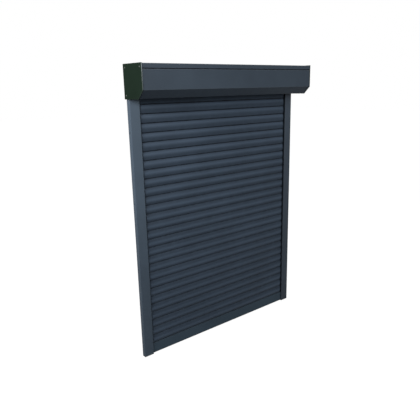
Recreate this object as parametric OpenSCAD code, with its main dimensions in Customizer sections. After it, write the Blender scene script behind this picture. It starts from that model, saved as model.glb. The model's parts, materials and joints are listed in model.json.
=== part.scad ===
// Exterior roller shutter, shown closed: a square box with a 45 degree cut along its lower
// front edge, two guide rails, and a curtain of hooked slats that winds on an octagonal tube.
// X runs along the box, Y from the front to the wall, Z up from the rail feet.

/* [Curtain] */
// Number of slats above the bottom bar
slat_count = 29; // [12:1:32]
// Height that one slat covers, from hook to hook
slat_pitch = 39; // [37:0.5:44]
// Thickness of a slat across its rolled edges
slat_core = 6.6; // [6.4:0.1:7.6]
// Rise of the crowned front face over its edges
slat_crown = 2.6; // [1.2:0.1:2.8]
// How far the rolled edges of a slat stand proud of its skins
bead_rise = 0.15; // [0.1:0.05:0.3]
// Wall of the slat profile
slat_wall = 0.9; // [0.7:0.05:1.1]
// Length of each slat end that runs inside a rail
slat_engage = 22; // [16:1:25]
// Space between the shoulder of one slat and the bead of the next
slat_gap = 0.7; // [0.4:0.1:1.2]

/* [Slat hook] */
// Thickness of the hook along the upper edge of a slat
hook_t = 1.1; // [0.8:0.1:1.2]
// Outer radius of the hook's curl
hook_r = 1.65; // [1.5:0.05:1.75]
// Length of the hook's tip below its curl
hook_tip = 0.9; // [0.5:0.1:1.1]
// Distance that two hooked slats can draw apart
hook_play = 3; // [2:0.1:3.2]
// Clearance beside and above the hook in its channel
hook_gap = 0.4; // [0.3:0.05:0.5]
// Thickness of the lip that holds the hook
channel_lip = 1.2; // [0.8:0.1:1.4]
// Offset of the channel from the middle of the bead towards the front
channel_shift = 0.3; // [0.2:0.05:0.4]
// Radius of the channel's inner corners
channel_r = 0.6; // [0.3:0.1:1]
// Clearance between the neck of the hook and the lip
neck_gap = 0.6; // [0.4:0.05:0.8]

/* [Bottom bar] */
// Height of the bottom bar up to the first slat
bar_h = 48; // [40:1:60]
// Height of the bar's underside above the rail feet
bar_z = 4; // [3.5:0.5:8]
// Wall of the bottom bar
bar_wall = 1.4; // [1:0.1:1.8]
// Width of the seal slot inside the bar
seal_slot_w = 5; // [4:0.1:5.4]
// Width of the mouth of the seal slot
seal_mouth_w = 3.2; // [2.4:0.1:3.6]
// Height of the seal slot inside the bar
seal_slot_h = 2.4; // [1.8:0.1:3]
// Clearance of the seal's foot in its slot
seal_gap = 0.2; // [0.1:0.05:0.3]
// Clearance of the hanging seal lip above the sill
sill_gap = 0.8; // [0.5:0.1:2]
// Thickness of the end plug's outer plate
bar_plug_t = 3; // [2:0.5:5]
// Length of the end plug's tenon inside the bar
bar_plug_tenon = 22; // [12:1:40]

/* [Rails] */
// Width of a rail seen from the front
rail_w = 48; // [46:1:60]
// Depth of a rail from the front to the wall
rail_d = 22; // [21:0.5:28]
// Wall of the rail profile
rail_wall = 1.6; // [1.2:0.1:2]
// Radius along the outer edges of a rail
rail_r = 2; // [1:0.1:3]
// Width of the screw chamber along the outer side of a rail
chamber_w = 15; // [13:0.5:18]
// Distance from the end plate's outer face to the rail's outer face
rail_inset = 8; // [5:0.5:14]
// Thickness of the lips that hold the pile strips
lip_t = 1.2; // [1:0.1:1.6]
// Height of those lips
lip_h = 2.2; // [1.6:0.1:2.6]
// Width of a pile strip's foot
pile_foot_w = 5; // [4:0.1:6]
// Thickness of a pile strip's foot
pile_foot_t = 1.6; // [1.2:0.1:2]
// Width of the standing pile
pile_w = 2.4; // [1.6:0.1:3]
// Clearance between the pile and the curtain
pile_gap = 0.5; // [0.4:0.05:1]
// Clearance of a pile strip's foot between its lips
pile_fit = 0.2; // [0.1:0.05:0.3]
// Number of fixing screws in each rail
screw_count = 4; // [2:1:6]
// Height of the lowest fixing screw
screw_first = 130; // [80:5:200]
// Distance between fixing screws
screw_pitch = 300; // [150:10:320]
// Diameter of a fixing hole in the outer side
screw_hole_d = 5.2; // [4:0.1:6.5]
// Diameter of the hole that lets the screw head and driver through
screw_access_d = 10; // [8:0.5:12]

/* [Rail feet] */
// Thickness of the foot plate under a rail
foot_t = 3; // [2:0.5:3.4]
// Length of the foot's peg inside the screw chamber
foot_peg = 18; // [10:1:40]
// Wall of the foot's hollow peg
foot_peg_wall = 2; // [1.5:0.1:3]
// Clearance of pegs and spigots in the screw chamber
peg_gap = 0.25; // [0.15:0.05:0.4]

/* [Box] */
// Width of the box over its end plates
box_w = 1000; // [800:5:1600]
// Height and depth of the box
box_side = 137; // [130:1:165]
// Leg of the 45 degree cut along the lower front edge
box_cut = 34; // [26:1:44]
// Height of the curtain's top hook line above the underside of the box
box_entry = 18; // [16:0.5:24]
// Sheet of the box
shell_t = 1.2; // [0.8:0.1:1.5]
// Inside radius of the sheet's bends
bend_r = 1; // [0.6:0.1:2]
// How far the end plates stand proud of the sheet
shell_inset = 2; // [1.6:0.1:3]
// Depth of the fixed strip above the seam on the box front
seam_drop = 18; // [14:0.5:30]
// Height of the seam between the fixed strip and the cover
seam_gap = 3; // [1.2:0.1:4]
// Height of the cover's tongue behind the fixed strip
tongue_h = 10; // [6:0.5:12]
// Clearance between the tongue and the fixed strip
tongue_gap = 0.25; // [0.2:0.05:0.4]
// Height of the stiffening lip along the cover's rear edge
cover_lip = 8; // [5:0.5:10]
// Space between the cover's rear edge and the rails
cover_gap = 0.6; // [0.4:0.1:2]
// Clearance between the sheet and the end plates
shell_fit = 0.2; // [0.15:0.05:0.4]
// Diameter of a cover screw's head
cover_screw_head = 7; // [6:0.5:8]
// Diameter of a cover screw's shank
cover_screw_d = 4; // [3:0.5:5]
// Clearance of a screw or rivet shank in its hole
shank_gap = 0.1; // [0.05:0.05:0.2]

/* [End plates] */
// Thickness of an end plate
cap_t = 3; // [2:0.5:5]
// Depth of the rim inside the sheet
rim_depth = 7; // [4:0.5:8]
// Wall of the rim and thickness of the ribs
rim_t = 2; // [1.5:0.1:3]
// Depth of the radial ribs
rib_depth = 5; // [3:0.5:6]
// Number of radial ribs
rib_count = 6; // [4:1:10]
// Thickness of the foot that sits on the rail
cap_foot_t = 3; // [2:0.5:5]
// Length of the spigot inside the rail
spigot_l = 40; // [20:1:80]
// Distance of the corner rivets from the edges
rivet_edge = 15; // [10:0.5:20]
// Diameter of a rivet head
rivet_head_d = 6.4; // [5:0.2:8]
// Height of a rivet head
rivet_head_h = 1; // [0.6:0.1:1.6]
// Diameter of a rivet shank
rivet_d = 3.2; // [2.4:0.1:4]

/* [Tube and bearings] */
// Width of the octagonal tube across its flats
tube_af = 60; // [50:1:64]
// Sheet of the tube
tube_wall = 0.8; // [0.6:0.1:1.5]
// Clearance of the plugs inside the tube
plug_gap = 0.15; // [0.1:0.05:0.3]
// Length of the plugs inside the tube
plug_l = 40; // [25:1:80]
// Wall of the plugs
plug_wall = 2.5; // [1.8:0.1:4]
// Thickness of the idler plug's collar
idler_collar_t = 3; // [2:0.5:5]
// How far the idler plug's collar stands out over the tube's flats
idler_collar_rise = 2; // [1:0.5:4]
// Diameter of the spindles
spindle_d = 12; // [10:0.5:14]
// Radial clearance of the spindles in their bearings
bearing_gap = 0.05; // [0.02:0.01:0.1]
// Outside diameter of a bearing bush
bearing_d = 32; // [26:1:36]
// Diameter of the bush's flange
bearing_flange_d = 40; // [38:1:46]
// Thickness of the bush's flange
bearing_flange_t = 1.5; // [1:0.1:2]
// Radial clearance of the bush in its seat
seat_gap = 0.1; // [0.05:0.05:0.2]
// Wall of the bearing seat on the end plate
seat_wall = 3; // [2:0.5:5]
// Gap between a turning piece and the bush's flange
running_gap = 0.5; // [0.3:0.1:0.8]
// Length of a spindle inside its plug
spindle_grip = 32; // [20:1:50]

/* [Strap pulley] */
// Gap between the slat ends and the pulley
roll_gap = 3; // [2:0.5:5]
// Width of the strap channel between the flanges
strap_w = 14; // [12:1:16]
// Thickness of the pulley's flanges
flange_t = 2; // [1.5:0.1:3]
// Gap between the pulley's rim and the sheet of the box
pulley_gap = 5; // [4:0.5:10]
// Radius of the drum that the strap winds on
drum_r = 40; // [36:1:46]
// Wall of the drum
drum_wall = 2.5; // [2:0.1:4]
// Radius of the hub round the spindle
hub_r = 10; // [9:0.5:12]
// Number of round windows in the pulley
window_count = 6; // [4:1:8]
// Radius of a window
window_r = 8; // [5:0.5:9]
// Width of the strap slot in the rear wall
strap_slot_w = 18; // [16:0.5:18]
// Height of the strap slot
strap_slot_h = 6.4; // [5:0.2:10]
// Wall of the bush round the strap slot
outlet_wall = 2; // [1.5:0.1:2.5]
// Width of the bush's flange outside its wall
outlet_flange = 3; // [2:0.5:4]
// How far the bush stands into the box
outlet_depth = 2.4; // [1:0.2:3]
// Height of the strap slot below the tube axis
outlet_drop = 30; // [20:1:40]
// Clearance of the bush in the sheet
outlet_fit = 0.2; // [0.1:0.05:0.3]

/* [Hangers] */
// Number of spring strips between the tube and the top slat
hanger_count = 3; // [2:1:5]
// Distance between the strips
hanger_pitch = 330; // [150:10:380]
// Width of a strip
hanger_w = 28; // [20:1:40]
// Thickness of a strip
hanger_t = 0.8; // [0.5:0.1:1.2]
// Radius of the bend towards the top slat
hanger_bend = 20; // [12:1:25]
// Length of a strip that lies on the tube beyond the middle of its flat
hanger_lap = 9; // [7:0.5:11]
// Distance between the two rivets of a strip
hanger_rivet_pitch = 16; // [12:1:20]
// Diameter of a hanger rivet's head
hanger_rivet_head = 7; // [5:0.5:8]
// Height of a hanger rivet's head
hanger_rivet_h = 1.4; // [1:0.1:2]
// Diameter of a hanger rivet's shank
hanger_rivet_d = 3.8; // [3:0.1:4.8]

/* [Inlet guides] */
// Length of a guide's legs inside the rail
guide_leg = 14; // [8:1:30]
// Height of a guide's straight mouth above the rail
guide_h = 6; // [4:0.5:8]
// Radius of the flared lip
flare_r = 10; // [6:0.5:11]
// Thickness of the flared lip
flare_t = 2; // [1.5:0.1:3]
// Clearance between a guide and the curtain
guide_gap = 0.8; // [0.5:0.1:1.2]
// Height of the bridge behind the slat ends
guide_bridge_h = 4; // [3:0.5:6]
// Clearance of a guide in the rail
guide_fit = 0.2; // [0.1:0.05:0.4]

/* [Hidden] */
$fn = 48;
eps = 0.01;
bend_steps = 5;

// Names of the slats, counted upwards from the bottom bar
function slat_name(i) = str("slat_", i < 10 ? "0" : "", i);

// Slat section: Y is the thickness with the front at minus, Z the height above the hook line below
slat_t = slat_core + slat_crown;
bead_r = slat_core / 2;
skin_half = bead_r - bead_rise;
bead_y = slat_t / 2 - bead_r;
bead_z = bead_r;
shoulder_z = slat_pitch - slat_gap - bead_r;
chord = (shoulder_z - bead_z) / 2;
crown_r = (chord * chord + slat_crown * slat_crown) / (2 * slat_crown);
crown_c = [bead_y - slat_crown + crown_r, (shoulder_z + bead_z) / 2];

// Hook and channel of the slats
channel_w = 2 * hook_r + 2 * hook_gap;
channel_y = bead_y - channel_shift - channel_w / 2;
hook_y = channel_y + hook_gap + hook_r;
hook_z = channel_lip + hook_play + hook_tip;
channel_top = hook_z + hook_r + hook_gap;
neck_y = hook_y + hook_r - hook_t;

// Levels
curtain_foot = bar_z + bar_h;
curtain_top = curtain_foot + slat_count * slat_pitch;
box_z = curtain_top - box_entry;
axis_z = box_z + box_side / 2;

// Depths
wall_y = box_side / 2;
rail_front = wall_y - rail_d;
curtain_y = wall_y - rail_d / 2;
sheet_half = box_side / 2 - shell_inset;
seam_z = sheet_half - seam_drop;
cover_edge = rail_front - cover_gap;

// Places along the box
cap_in = box_w / 2 - cap_t;
shell_end = cap_in - shell_fit;
rail_out = box_w / 2 - rail_inset;
rail_in = rail_out - rail_w;
channel_end = rail_out - chamber_w;
slat_end = rail_in + slat_engage;
bar_end = slat_end - bar_plug_t;
pulley_in = slat_end + roll_gap;
pulley_out = pulley_in + strap_w + 2 * flange_t;
seat_depth = cap_in - pulley_out - running_gap - bearing_flange_t;
tube_right = pulley_in - running_gap;
tube_left = -(pulley_out - running_gap - idler_collar_t);
rim_inset = shell_inset + shell_t + shell_fit;
bearing_r = bearing_d / 2;
spindle_r = spindle_d / 2;
spindle_end = cap_in - running_gap;
pulley_r = sheet_half - shell_t - pulley_gap;
plug_af = tube_af - 2 * tube_wall - 2 * plug_gap;
strap_x = (pulley_in + pulley_out) / 2;
outlet_w = strap_slot_w + 2 * outlet_wall;
outlet_h = strap_slot_h + 2 * outlet_wall;

// Colours
anthracite = [0.24, 0.28, 0.32];
anthracite_dark = [0.19, 0.23, 0.26];
cap_green = [0.15, 0.20, 0.17];
galvanised = [0.66, 0.68, 0.70];
bright_steel = [0.78, 0.79, 0.80];
moulded_black = [0.07, 0.07, 0.08];
moulded_grey = [0.55, 0.56, 0.57];

// Extrudes a Y, Z outline along X
module x_run(x0, x1) {
    translate([x0, 0, 0]) rotate([90, 0, 90]) linear_extrude(height = x1 - x0) children();
}

// Extrudes an X, Y outline along Z
module z_run(z0, z1) {
    translate([0, 0, z0]) linear_extrude(height = z1 - z0) children();
}

// Round bar along X
module x_rod(r, x0, x1) {
    translate([x0, 0, 0]) rotate([0, 90, 0]) cylinder(h = x1 - x0, r = r);
}

// Block between two corners
module block(low, high) {
    translate(low) cube(high - low);
}

module at_axis() {
    translate([0, 0, axis_z]) children();
}

module left_hand() {
    mirror([1, 0, 0]) children();
}

module round_rect(w, h, r) {
    translate([r, 0]) square([w - 2 * r, h]);
    translate([0, r]) square([w, h - 2 * r]);
    for (x = [r, w - r], y = [r, h - r]) translate([x, y]) circle(r);
}

// Octagon with a flat on each side, given across its flats
module octagon(af) {
    rotate(180 / 8) circle(r = af / 2 / cos(180 / 8), $fn = 8);
}

// Folded sheet: the path is one face, and the thickness lies to its left
function unit(a, b) = (b - a) / norm(b - a);
function left_of(d) = [-d[1], d[0]];
function way_in(path, i) = unit(path[max(i - 1, 0)], path[max(i, 1)]);
function way_out(path, i) = unit(path[min(i, len(path) - 2)], path[min(i + 1, len(path) - 1)]);
function beside(path, d) = [
    for (i = [0 : len(path) - 1])
        let (n0 = left_of(way_in(path, i)), n1 = left_of(way_out(path, i)))
            path[i] + d * (n0 + n1) / (1 + n0 * n1)
];
function turns_left(path, i) = cross(way_in(path, i), way_out(path, i)) > 0;

// Arc of radius r that replaces corner i of a path
function corner_arc(path, i, r) =
    let (u = -way_in(path, i), v = way_out(path, i))
    let (half = acos(u * v) / 2, turn = 180 - 2 * half)
    let (c = path[i] + (u + v) / norm(u + v) * r / sin(half))
    let (a = path[i] + u * r / tan(half) - c, b = path[i] + v * r / tan(half) - c)
    [for (k = [0 : bend_steps])
        let (t = k / bend_steps)
            c + (a * sin((1 - t) * turn) + b * sin(t * turn)) / sin(turn)];

function bent(path, r, t, side) = concat(
    [path[0]],
    [for (i = [1 : len(path) - 2])
        each corner_arc(path, i, r + (turns_left(path, i) == side ? t : 0))],
    [path[len(path) - 1]]
);
function reversed(list) = [for (i = [len(list) - 1 : -1 : 0]) list[i]];

module sheet(path, t, r) {
    polygon(concat(bent(path, r, t, true), reversed(bent(beside(path, t), r, t, false))));
}

// Section of the box inset by d, about the tube axis
function box_section(d) =
    let (h = box_side / 2 - d, c = box_cut - d * (2 - sqrt(2)))
    [[h, -h], [h, h], [-h, h], [-h, c - h], [c - h, -h]];

// Slats

// Curved band of the slat between two heights, half thick to each side of its middle line
module crowned_band(half, low, high) {
    far = 1.3;
    function ray(z) =
        let (rise = z - crown_c[1])
        crown_c + far * [-sqrt(crown_r * crown_r - rise * rise), rise];
    intersection() {
        translate(crown_c) difference() {
            circle(crown_r + half);
            circle(crown_r - half);
        }
        polygon([crown_c, ray(high), ray(low)]);
    }
}

// Hook above the hook line at height z, with its neck rooted at height root
module hook(z, root) {
    translate([neck_y, root]) square([hook_t, z + hook_z - root]);
    translate([hook_y, z + hook_z]) intersection() {
        difference() {
            circle(hook_r);
            circle(hook_r - hook_t);
        }
        translate([-hook_r, 0]) square([2 * hook_r, hook_r]);
    }
    translate([hook_y - hook_r, z + hook_z - hook_tip]) square([hook_t, hook_tip]);
}

// Channel that receives a hook, cut upwards from the hook line
module channel() {
    translate([channel_y, channel_lip]) round_rect(channel_w, channel_top - channel_lip, channel_r);
    translate([neck_y - neck_gap, -slat_gap])
        square([channel_y + channel_w - neck_y + neck_gap, slat_gap + channel_lip + channel_r]);
}

module slat_section() {
    difference() {
        union() {
            crowned_band(skin_half, bead_z, shoulder_z);
            translate([bead_y, bead_z]) circle(bead_r);
            translate([bead_y, shoulder_z]) circle(bead_r);
            hook(slat_pitch, shoulder_z);
        }
        crowned_band(skin_half - slat_wall, channel_top + 2 * slat_wall, shoulder_z - slat_wall);
        channel();
    }
}

module slat(i) {
    color(anthracite)
        translate([0, curtain_y, curtain_foot + (i - 1) * slat_pitch])
            x_run(-slat_end, slat_end) slat_section();
}

// Bottom bar
bar_top = bar_h - slat_gap;
bar_half = slat_t / 2;

module bar_outline() {
    translate([-bar_half, 0]) square([slat_t, bar_top - bead_r]);
    translate([bead_r - bar_half, 0]) square([slat_t - 2 * bead_r, bar_top]);
    for (y = [bead_r - bar_half, bar_half - bead_r]) translate([y, bar_top - bead_r]) circle(bead_r);
}

bar_floor = bar_wall + seal_slot_h;

module bar_hollow(inset) {
    low = bar_floor + bar_wall + inset;
    high = bar_top - bead_r - inset;
    translate([bar_wall + inset - bar_half, low]) square([slat_t - 2 * bar_wall - 2 * inset, high - low]);
}

module bottom_bar() {
    color(anthracite_dark)
        translate([0, curtain_y, bar_z]) x_run(-bar_end, bar_end) difference() {
            union() {
                bar_outline();
                hook(bar_h, bar_top - bead_r);
            }
            bar_hollow(0);
            translate([-seal_slot_w / 2, bar_wall]) square([seal_slot_w, seal_slot_h]);
            translate([-seal_mouth_w / 2, -eps]) square([seal_mouth_w, bar_wall + 2 * eps]);
        }
}

module bottom_seal() {
    foot_w = seal_slot_w - 2 * seal_gap;
    stem_w = seal_mouth_w - 2 * seal_gap;
    lip_low = sill_gap - bar_z;
    color(moulded_black)
        translate([0, curtain_y, bar_z]) x_run(seal_gap - rail_in, rail_in - seal_gap) {
            translate([-foot_w / 2, bar_wall + seal_gap]) square([foot_w, seal_slot_h - 2 * seal_gap]);
            translate([-stem_w / 2, lip_low]) square([stem_w, bar_wall + 2 * seal_gap - lip_low]);
            translate([-bar_half + bar_wall, lip_low]) square([slat_t - 2 * bar_wall, -lip_low - seal_gap]);
        }
}

module bar_plug() {
    translate([0, curtain_y, bar_z]) {
        x_run(bar_end, slat_end) bar_outline();
        x_run(bar_end - bar_plug_tenon, bar_end + eps) bar_hollow(seal_gap);
    }
}

module bar_end_plugs() {
    color(moulded_black) {
        bar_plug();
        left_hand() bar_plug();
    }
}

// Rails

// Places a profile whose X runs inwards from the rail's outer side and whose Y runs to the wall
module rail_place() {
    translate([rail_out, rail_front]) mirror([1, 0]) children();
}

pocket_out = rail_w - lip_t - pile_foot_w;

module rail_section() {
    inner_d = rail_d - 2 * rail_wall;
    difference() {
        round_rect(rail_w, rail_d, rail_r);
        translate([rail_wall, rail_wall]) square([chamber_w - 2 * rail_wall, inner_d]);
        translate([chamber_w, rail_wall]) square([pocket_out - lip_t - chamber_w, inner_d]);
        translate([pocket_out, rail_wall]) square([pile_foot_w, inner_d]);
        translate([chamber_w, rail_wall + lip_h]) square([rail_w, inner_d - 2 * lip_h]);
    }
}

module rail() {
    color(anthracite) difference() {
        z_run(foot_t, box_z) rail_place() rail_section();
        for (k = [0 : screw_count - 1]) translate([0, curtain_y, screw_first + k * screw_pitch]) {
            x_rod(screw_hole_d / 2, rail_out - 1.5 * rail_wall, rail_out + 1);
            x_rod(screw_access_d / 2, channel_end - 1, channel_end + 1.5 * rail_wall);
        }
    }
}

// One pile strip along the front wall of the rail channel
module pile_section() {
    tip = rail_d / 2 - slat_t / 2 - pile_gap;
    translate([pocket_out + pile_fit, rail_wall]) square([pile_foot_w - 2 * pile_fit, pile_foot_t]);
    translate([pocket_out + (pile_foot_w - pile_w) / 2, rail_wall]) square([pile_w, tip - rail_wall]);
}

module rail_seals() {
    color(moulded_black) z_run(foot_t, box_z) rail_place() {
        pile_section();
        translate([0, rail_d]) mirror([0, 1]) pile_section();
    }
}

// Inside of the screw chamber, inset by a clearance
module chamber_fill(inset) {
    translate([rail_wall + inset, rail_wall + inset])
        square([chamber_w - 2 * rail_wall - 2 * inset, rail_d - 2 * rail_wall - 2 * inset]);
}

module rail_foot() {
    color(moulded_black) {
        z_run(0, foot_t) rail_place() round_rect(rail_w, rail_d, rail_r);
        z_run(foot_t - eps, foot_t + foot_peg) rail_place() difference() {
            chamber_fill(peg_gap);
            chamber_fill(peg_gap + foot_peg_wall);
        }
    }
}

// Moulded guide that leads the curtain from the box into the rail
module inlet_guide() {
    x_in = rail_out - pocket_out + lip_t + guide_fit;
    x_out = channel_end - guide_fit;
    front_y = rail_front + rail_wall + guide_fit;
    rear_y = wall_y - rail_wall - guide_fit;
    shell_y = sheet_half - shell_t - guide_fit;
    near_y = curtain_y - slat_t / 2 - guide_gap;
    far_y = curtain_y + slat_t / 2 + guide_gap;
    low = box_z - guide_leg;
    mouth = box_z + guide_h;
    color(moulded_black) {
        x_run(x_in, x_out) {
            translate([front_y, low]) square([near_y - front_y, mouth - low]);
            translate([far_y, low]) square([rear_y - far_y, box_z - low]);
            translate([far_y, box_z]) square([shell_y - far_y, guide_h + flare_r]);
            translate([near_y - flare_r, mouth]) intersection() {
                difference() {
                    circle(flare_r);
                    circle(flare_r - flare_t);
                }
                square(flare_r);
            }
        }
        block([slat_end + guide_gap, front_y, box_z], [x_out, shell_y, box_z + guide_bridge_h]);
    }
}

// Box

module box_top_shell() {
    h = sheet_half;
    color(anthracite) at_axis() difference() {
        x_run(-shell_end, shell_end) sheet([[h, -h], [h, h], [-h, h], [-h, seam_z]], shell_t, bend_r);
        translate([strap_x, h, -outlet_drop])
            cube([outlet_w + 2 * outlet_fit, 4 * shell_t, outlet_h + 2 * outlet_fit], center = true);
    }
}

cover_cut = box_cut - shell_inset * (2 - sqrt(2));
cover_screw_x = cap_in - rim_depth / 2;
cover_screw_y = -sheet_half / 5;

module cover_section() {
    h = sheet_half;
    back = shell_t + tongue_gap;
    joggle_z = seam_z - seam_gap;
    sheet([
        [back - h, seam_z + tongue_h],
        [back - h, joggle_z],
        [-h, joggle_z - back],
        [-h, cover_cut - h],
        [cover_cut - h, -h],
        [cover_edge, -h],
        [cover_edge, cover_lip - h]
    ], shell_t, bend_r);
}

// Round bars along Z at both ends of the cover's underside
module at_cover_screws() {
    for (x = [-cover_screw_x, cover_screw_x]) translate([x, cover_screw_y, -sheet_half]) children();
}

module front_cover() {
    color(anthracite) at_axis() difference() {
        x_run(-shell_end, shell_end) cover_section();
        at_cover_screws() translate([0, 0, -1]) cylinder(h = shell_t + 2, d = cover_screw_d + 2 * shank_gap);
    }
}

module cover_screws() {
    color(bright_steel) at_axis() at_cover_screws() {
        cylinder(h = shell_t, d = cover_screw_d);
        mirror([0, 0, 1]) cylinder(h = shell_inset, d1 = cover_screw_head, d2 = cover_screw_d);
    }
}

// Places of the corner rivets on an end plate, about the tube axis
rivet_at = box_side / 2 - rivet_edge;
rivet_places = [[rivet_at, rivet_at], [-rivet_at, rivet_at], [rivet_at, -rivet_at]];

module at_rivets() {
    at_axis() for (p = rivet_places) translate([0, p[0], p[1]]) children();
}

// Rim inside the sheet, open where the cover's tongue, the curtain and the cover's rear lip pass
module rim_section() {
    swing = 4;
    difference() {
        polygon(box_section(rim_inset));
        polygon(box_section(rim_inset + rim_t));
        translate([-box_side, seam_z - seam_gap - 2 * swing])
            square([box_side / 2 + rim_inset + rim_t + swing, tongue_h + seam_gap + 3 * swing]);
        translate([cover_edge - 3 * swing, -box_side]) square([box_side, box_side / 2 + cover_lip + 3 * swing]);
    }
}

module end_cap() {
    foot_top = box_z + cap_foot_t;
    spigot_y = rail_wall + peg_gap;
    color(cap_green) difference() {
        union() {
            at_axis() {
                x_run(cap_in, box_w / 2) polygon(box_section(0));
                x_run(cap_in - rim_depth, cap_in) rim_section();
                x_rod(bearing_r + seat_gap + seat_wall, cap_in - seat_depth, cap_in);
                intersection() {
                    x_run(cap_in - rib_depth, cap_in) polygon(box_section(rim_inset));
                    for (k = [0 : rib_count - 1]) rotate([k * 360 / rib_count, 0, 0])
                        block([cap_in - rib_depth, bearing_r, -rim_t / 2], [cap_in, box_side, rim_t / 2]);
                }
            }
            block([channel_end, rail_front + peg_gap, box_z], [cap_in, wall_y - rim_inset, foot_top]);
            z_run(box_z - spigot_l, box_z) rail_place() chamber_fill(peg_gap);
        }
        at_axis() x_rod(bearing_r + seat_gap, cap_in - seat_depth - 1, cap_in);
        at_rivets() x_rod(rivet_d / 2 + shank_gap, cap_in - rib_depth - 1, box_w / 2 + 1);
    }
}

// Domed rivet along Z, with the underside of its head at zero
module rivet() {
    dome_r = (rivet_head_d * rivet_head_d / 4 + rivet_head_h * rivet_head_h) / (2 * rivet_head_h);
    rotate_extrude() {
        translate([0, -cap_t]) square([rivet_d / 2, cap_t + eps]);
        intersection() {
            translate([0, rivet_head_h - dome_r]) circle(dome_r);
            square([rivet_head_d / 2, rivet_head_h]);
        }
    }
}

module rivets_of_cap() {
    at_rivets() translate([box_w / 2, 0, 0]) rotate([0, 90, 0]) rivet();
}

module cap_rivets() {
    color(bright_steel) {
        rivets_of_cap();
        left_hand() rivets_of_cap();
    }
}

// Tube, plugs, spindles and bearings

// Flat of the tube that carries the hangers: X along the tube, Y down the flat, Z out of it
module on_hanger_flat() {
    at_axis() rotate([-45, 0, 0]) translate([0, 0, tube_af / 2]) children();
}

hanger_places = [for (k = [0 : hanger_count - 1]) (k - (hanger_count - 1) / 2) * hanger_pitch];

module at_hanger_rivets() {
    for (x = hanger_places, s = [-1, 1])
        on_hanger_flat() translate([x + s * hanger_rivet_pitch / 2, 0, 0]) children();
}

module hanger_rivet_holes() {
    at_hanger_rivets() translate([0, 0, -2 * tube_wall])
        cylinder(h = 2 * tube_wall + 2 * hanger_t, d = hanger_rivet_d + 2 * shank_gap);
}

module winding_tube() {
    color(galvanised) difference() {
        at_axis() x_run(tube_left, tube_right) difference() {
            octagon(tube_af);
            octagon(tube_af - 2 * tube_wall);
        }
        hanger_rivet_holes();
    }
}

// Ribbed plug inside the tube, with the bore of its spindle
module tube_plug(x0, x1) {
    x_run(x0, x1) difference() {
        octagon(plug_af);
        octagon(plug_af - 2 * plug_wall);
    }
    x_rod(hub_r, x0, x1);
    for (a = [0 : 45 : 135]) rotate([a, 0, 0])
        block([x0, -plug_af / 2 + plug_wall / 2, -plug_wall / 2], [x1, plug_af / 2 - plug_wall / 2, plug_wall / 2]);
}

module idler_cap() {
    color(moulded_grey) at_axis() difference() {
        union() {
            tube_plug(tube_left - eps, tube_left + plug_l);
            x_run(tube_left - idler_collar_t, tube_left) octagon(tube_af + 2 * idler_collar_rise);
        }
        x_rod(spindle_r + bearing_gap, tube_left - idler_collar_t - 1, tube_left + plug_l + 1);
    }
}

module spindle(x0, x1) {
    chamfer = 1;
    at_axis() {
        x_rod(spindle_r, x0 + chamfer, x1 - chamfer);
        translate([x1 - chamfer, 0, 0]) rotate([0, 90, 0])
            cylinder(h = chamfer, r1 = spindle_r, r2 = spindle_r - chamfer);
        translate([x0 + chamfer, 0, 0]) rotate([0, -90, 0])
            cylinder(h = chamfer, r1 = spindle_r, r2 = spindle_r - chamfer);
    }
}

module idler_spindle() {
    color(bright_steel) spindle(-spindle_end, tube_left + spindle_grip);
}

module pulley_axle() {
    color(bright_steel) spindle(pulley_in - spindle_grip, spindle_end);
}

module bearing() {
    color(moulded_grey) at_axis() difference() {
        union() {
            x_rod(bearing_r, cap_in - seat_depth - eps, cap_in);
            x_rod(bearing_flange_d / 2, cap_in - seat_depth - bearing_flange_t, cap_in - seat_depth);
        }
        x_rod(spindle_r + bearing_gap, cap_in - seat_depth - bearing_flange_t - 1, cap_in + 1);
    }
}

module strap_pulley() {
    color(moulded_grey) at_axis() difference() {
        union() {
            x_rod(pulley_r, pulley_in, pulley_in + flange_t);
            x_rod(pulley_r, pulley_out - flange_t, pulley_out);
            difference() {
                x_rod(drum_r, pulley_in, pulley_out);
                x_rod(drum_r - drum_wall, pulley_in + flange_t, pulley_out - flange_t);
            }
            x_rod(hub_r, pulley_in, pulley_out);
            tube_plug(pulley_in - plug_l, pulley_in + eps);
        }
        x_rod(spindle_r + bearing_gap, pulley_in - plug_l - 1, pulley_out + 1);
        for (k = [0 : window_count - 1]) rotate([(k + 0.5) * 360 / window_count, 0, 0])
            translate([0, (hub_r + drum_r - drum_wall) / 2, 0])
                x_rod(window_r, pulley_out - flange_t - 1, pulley_out + 1);
    }
}

// Bush that lines the strap slot in the rear wall
module strap_outlet() {
    h = sheet_half;
    color(moulded_black) translate([strap_x, 0, axis_z - outlet_drop]) difference() {
        union() {
            block([-outlet_w / 2, h - shell_t - outlet_depth, -outlet_h / 2], [outlet_w / 2, h + eps, outlet_h / 2]);
            block([-outlet_w / 2 - outlet_flange, h, -outlet_h / 2 - outlet_flange],
                [outlet_w / 2 + outlet_flange, h + shell_inset, outlet_h / 2 + outlet_flange]);
        }
        block([-strap_slot_w / 2, 0, -strap_slot_h / 2], [strap_slot_w / 2, box_side, strap_slot_h / 2]);
    }
}

// Spring strips: they lie on one flat of the tube, bend down and end in a shoe for the top hook
module hanger_section() {
    normal = [sqrt(0.5), sqrt(0.5)];
    down = [sqrt(0.5), -sqrt(0.5)];
    drop_y = curtain_y + channel_y + channel_w / 2 - hanger_t / 2;
    bend_z = tube_af * sqrt(0.5) - drop_y;
    shoe_z = curtain_top - axis_z;
    sheet([
        normal * tube_af / 2 - down * hanger_lap,
        [drop_y, bend_z],
        [drop_y, shoe_z + channel_top]
    ], hanger_t, hanger_bend);
    translate([curtain_y, shoe_z]) difference() {
        translate([channel_y - hanger_t, 0])
            square([channel_w + 2 * hanger_t, channel_top + hanger_t]);
        channel();
    }
}

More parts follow.
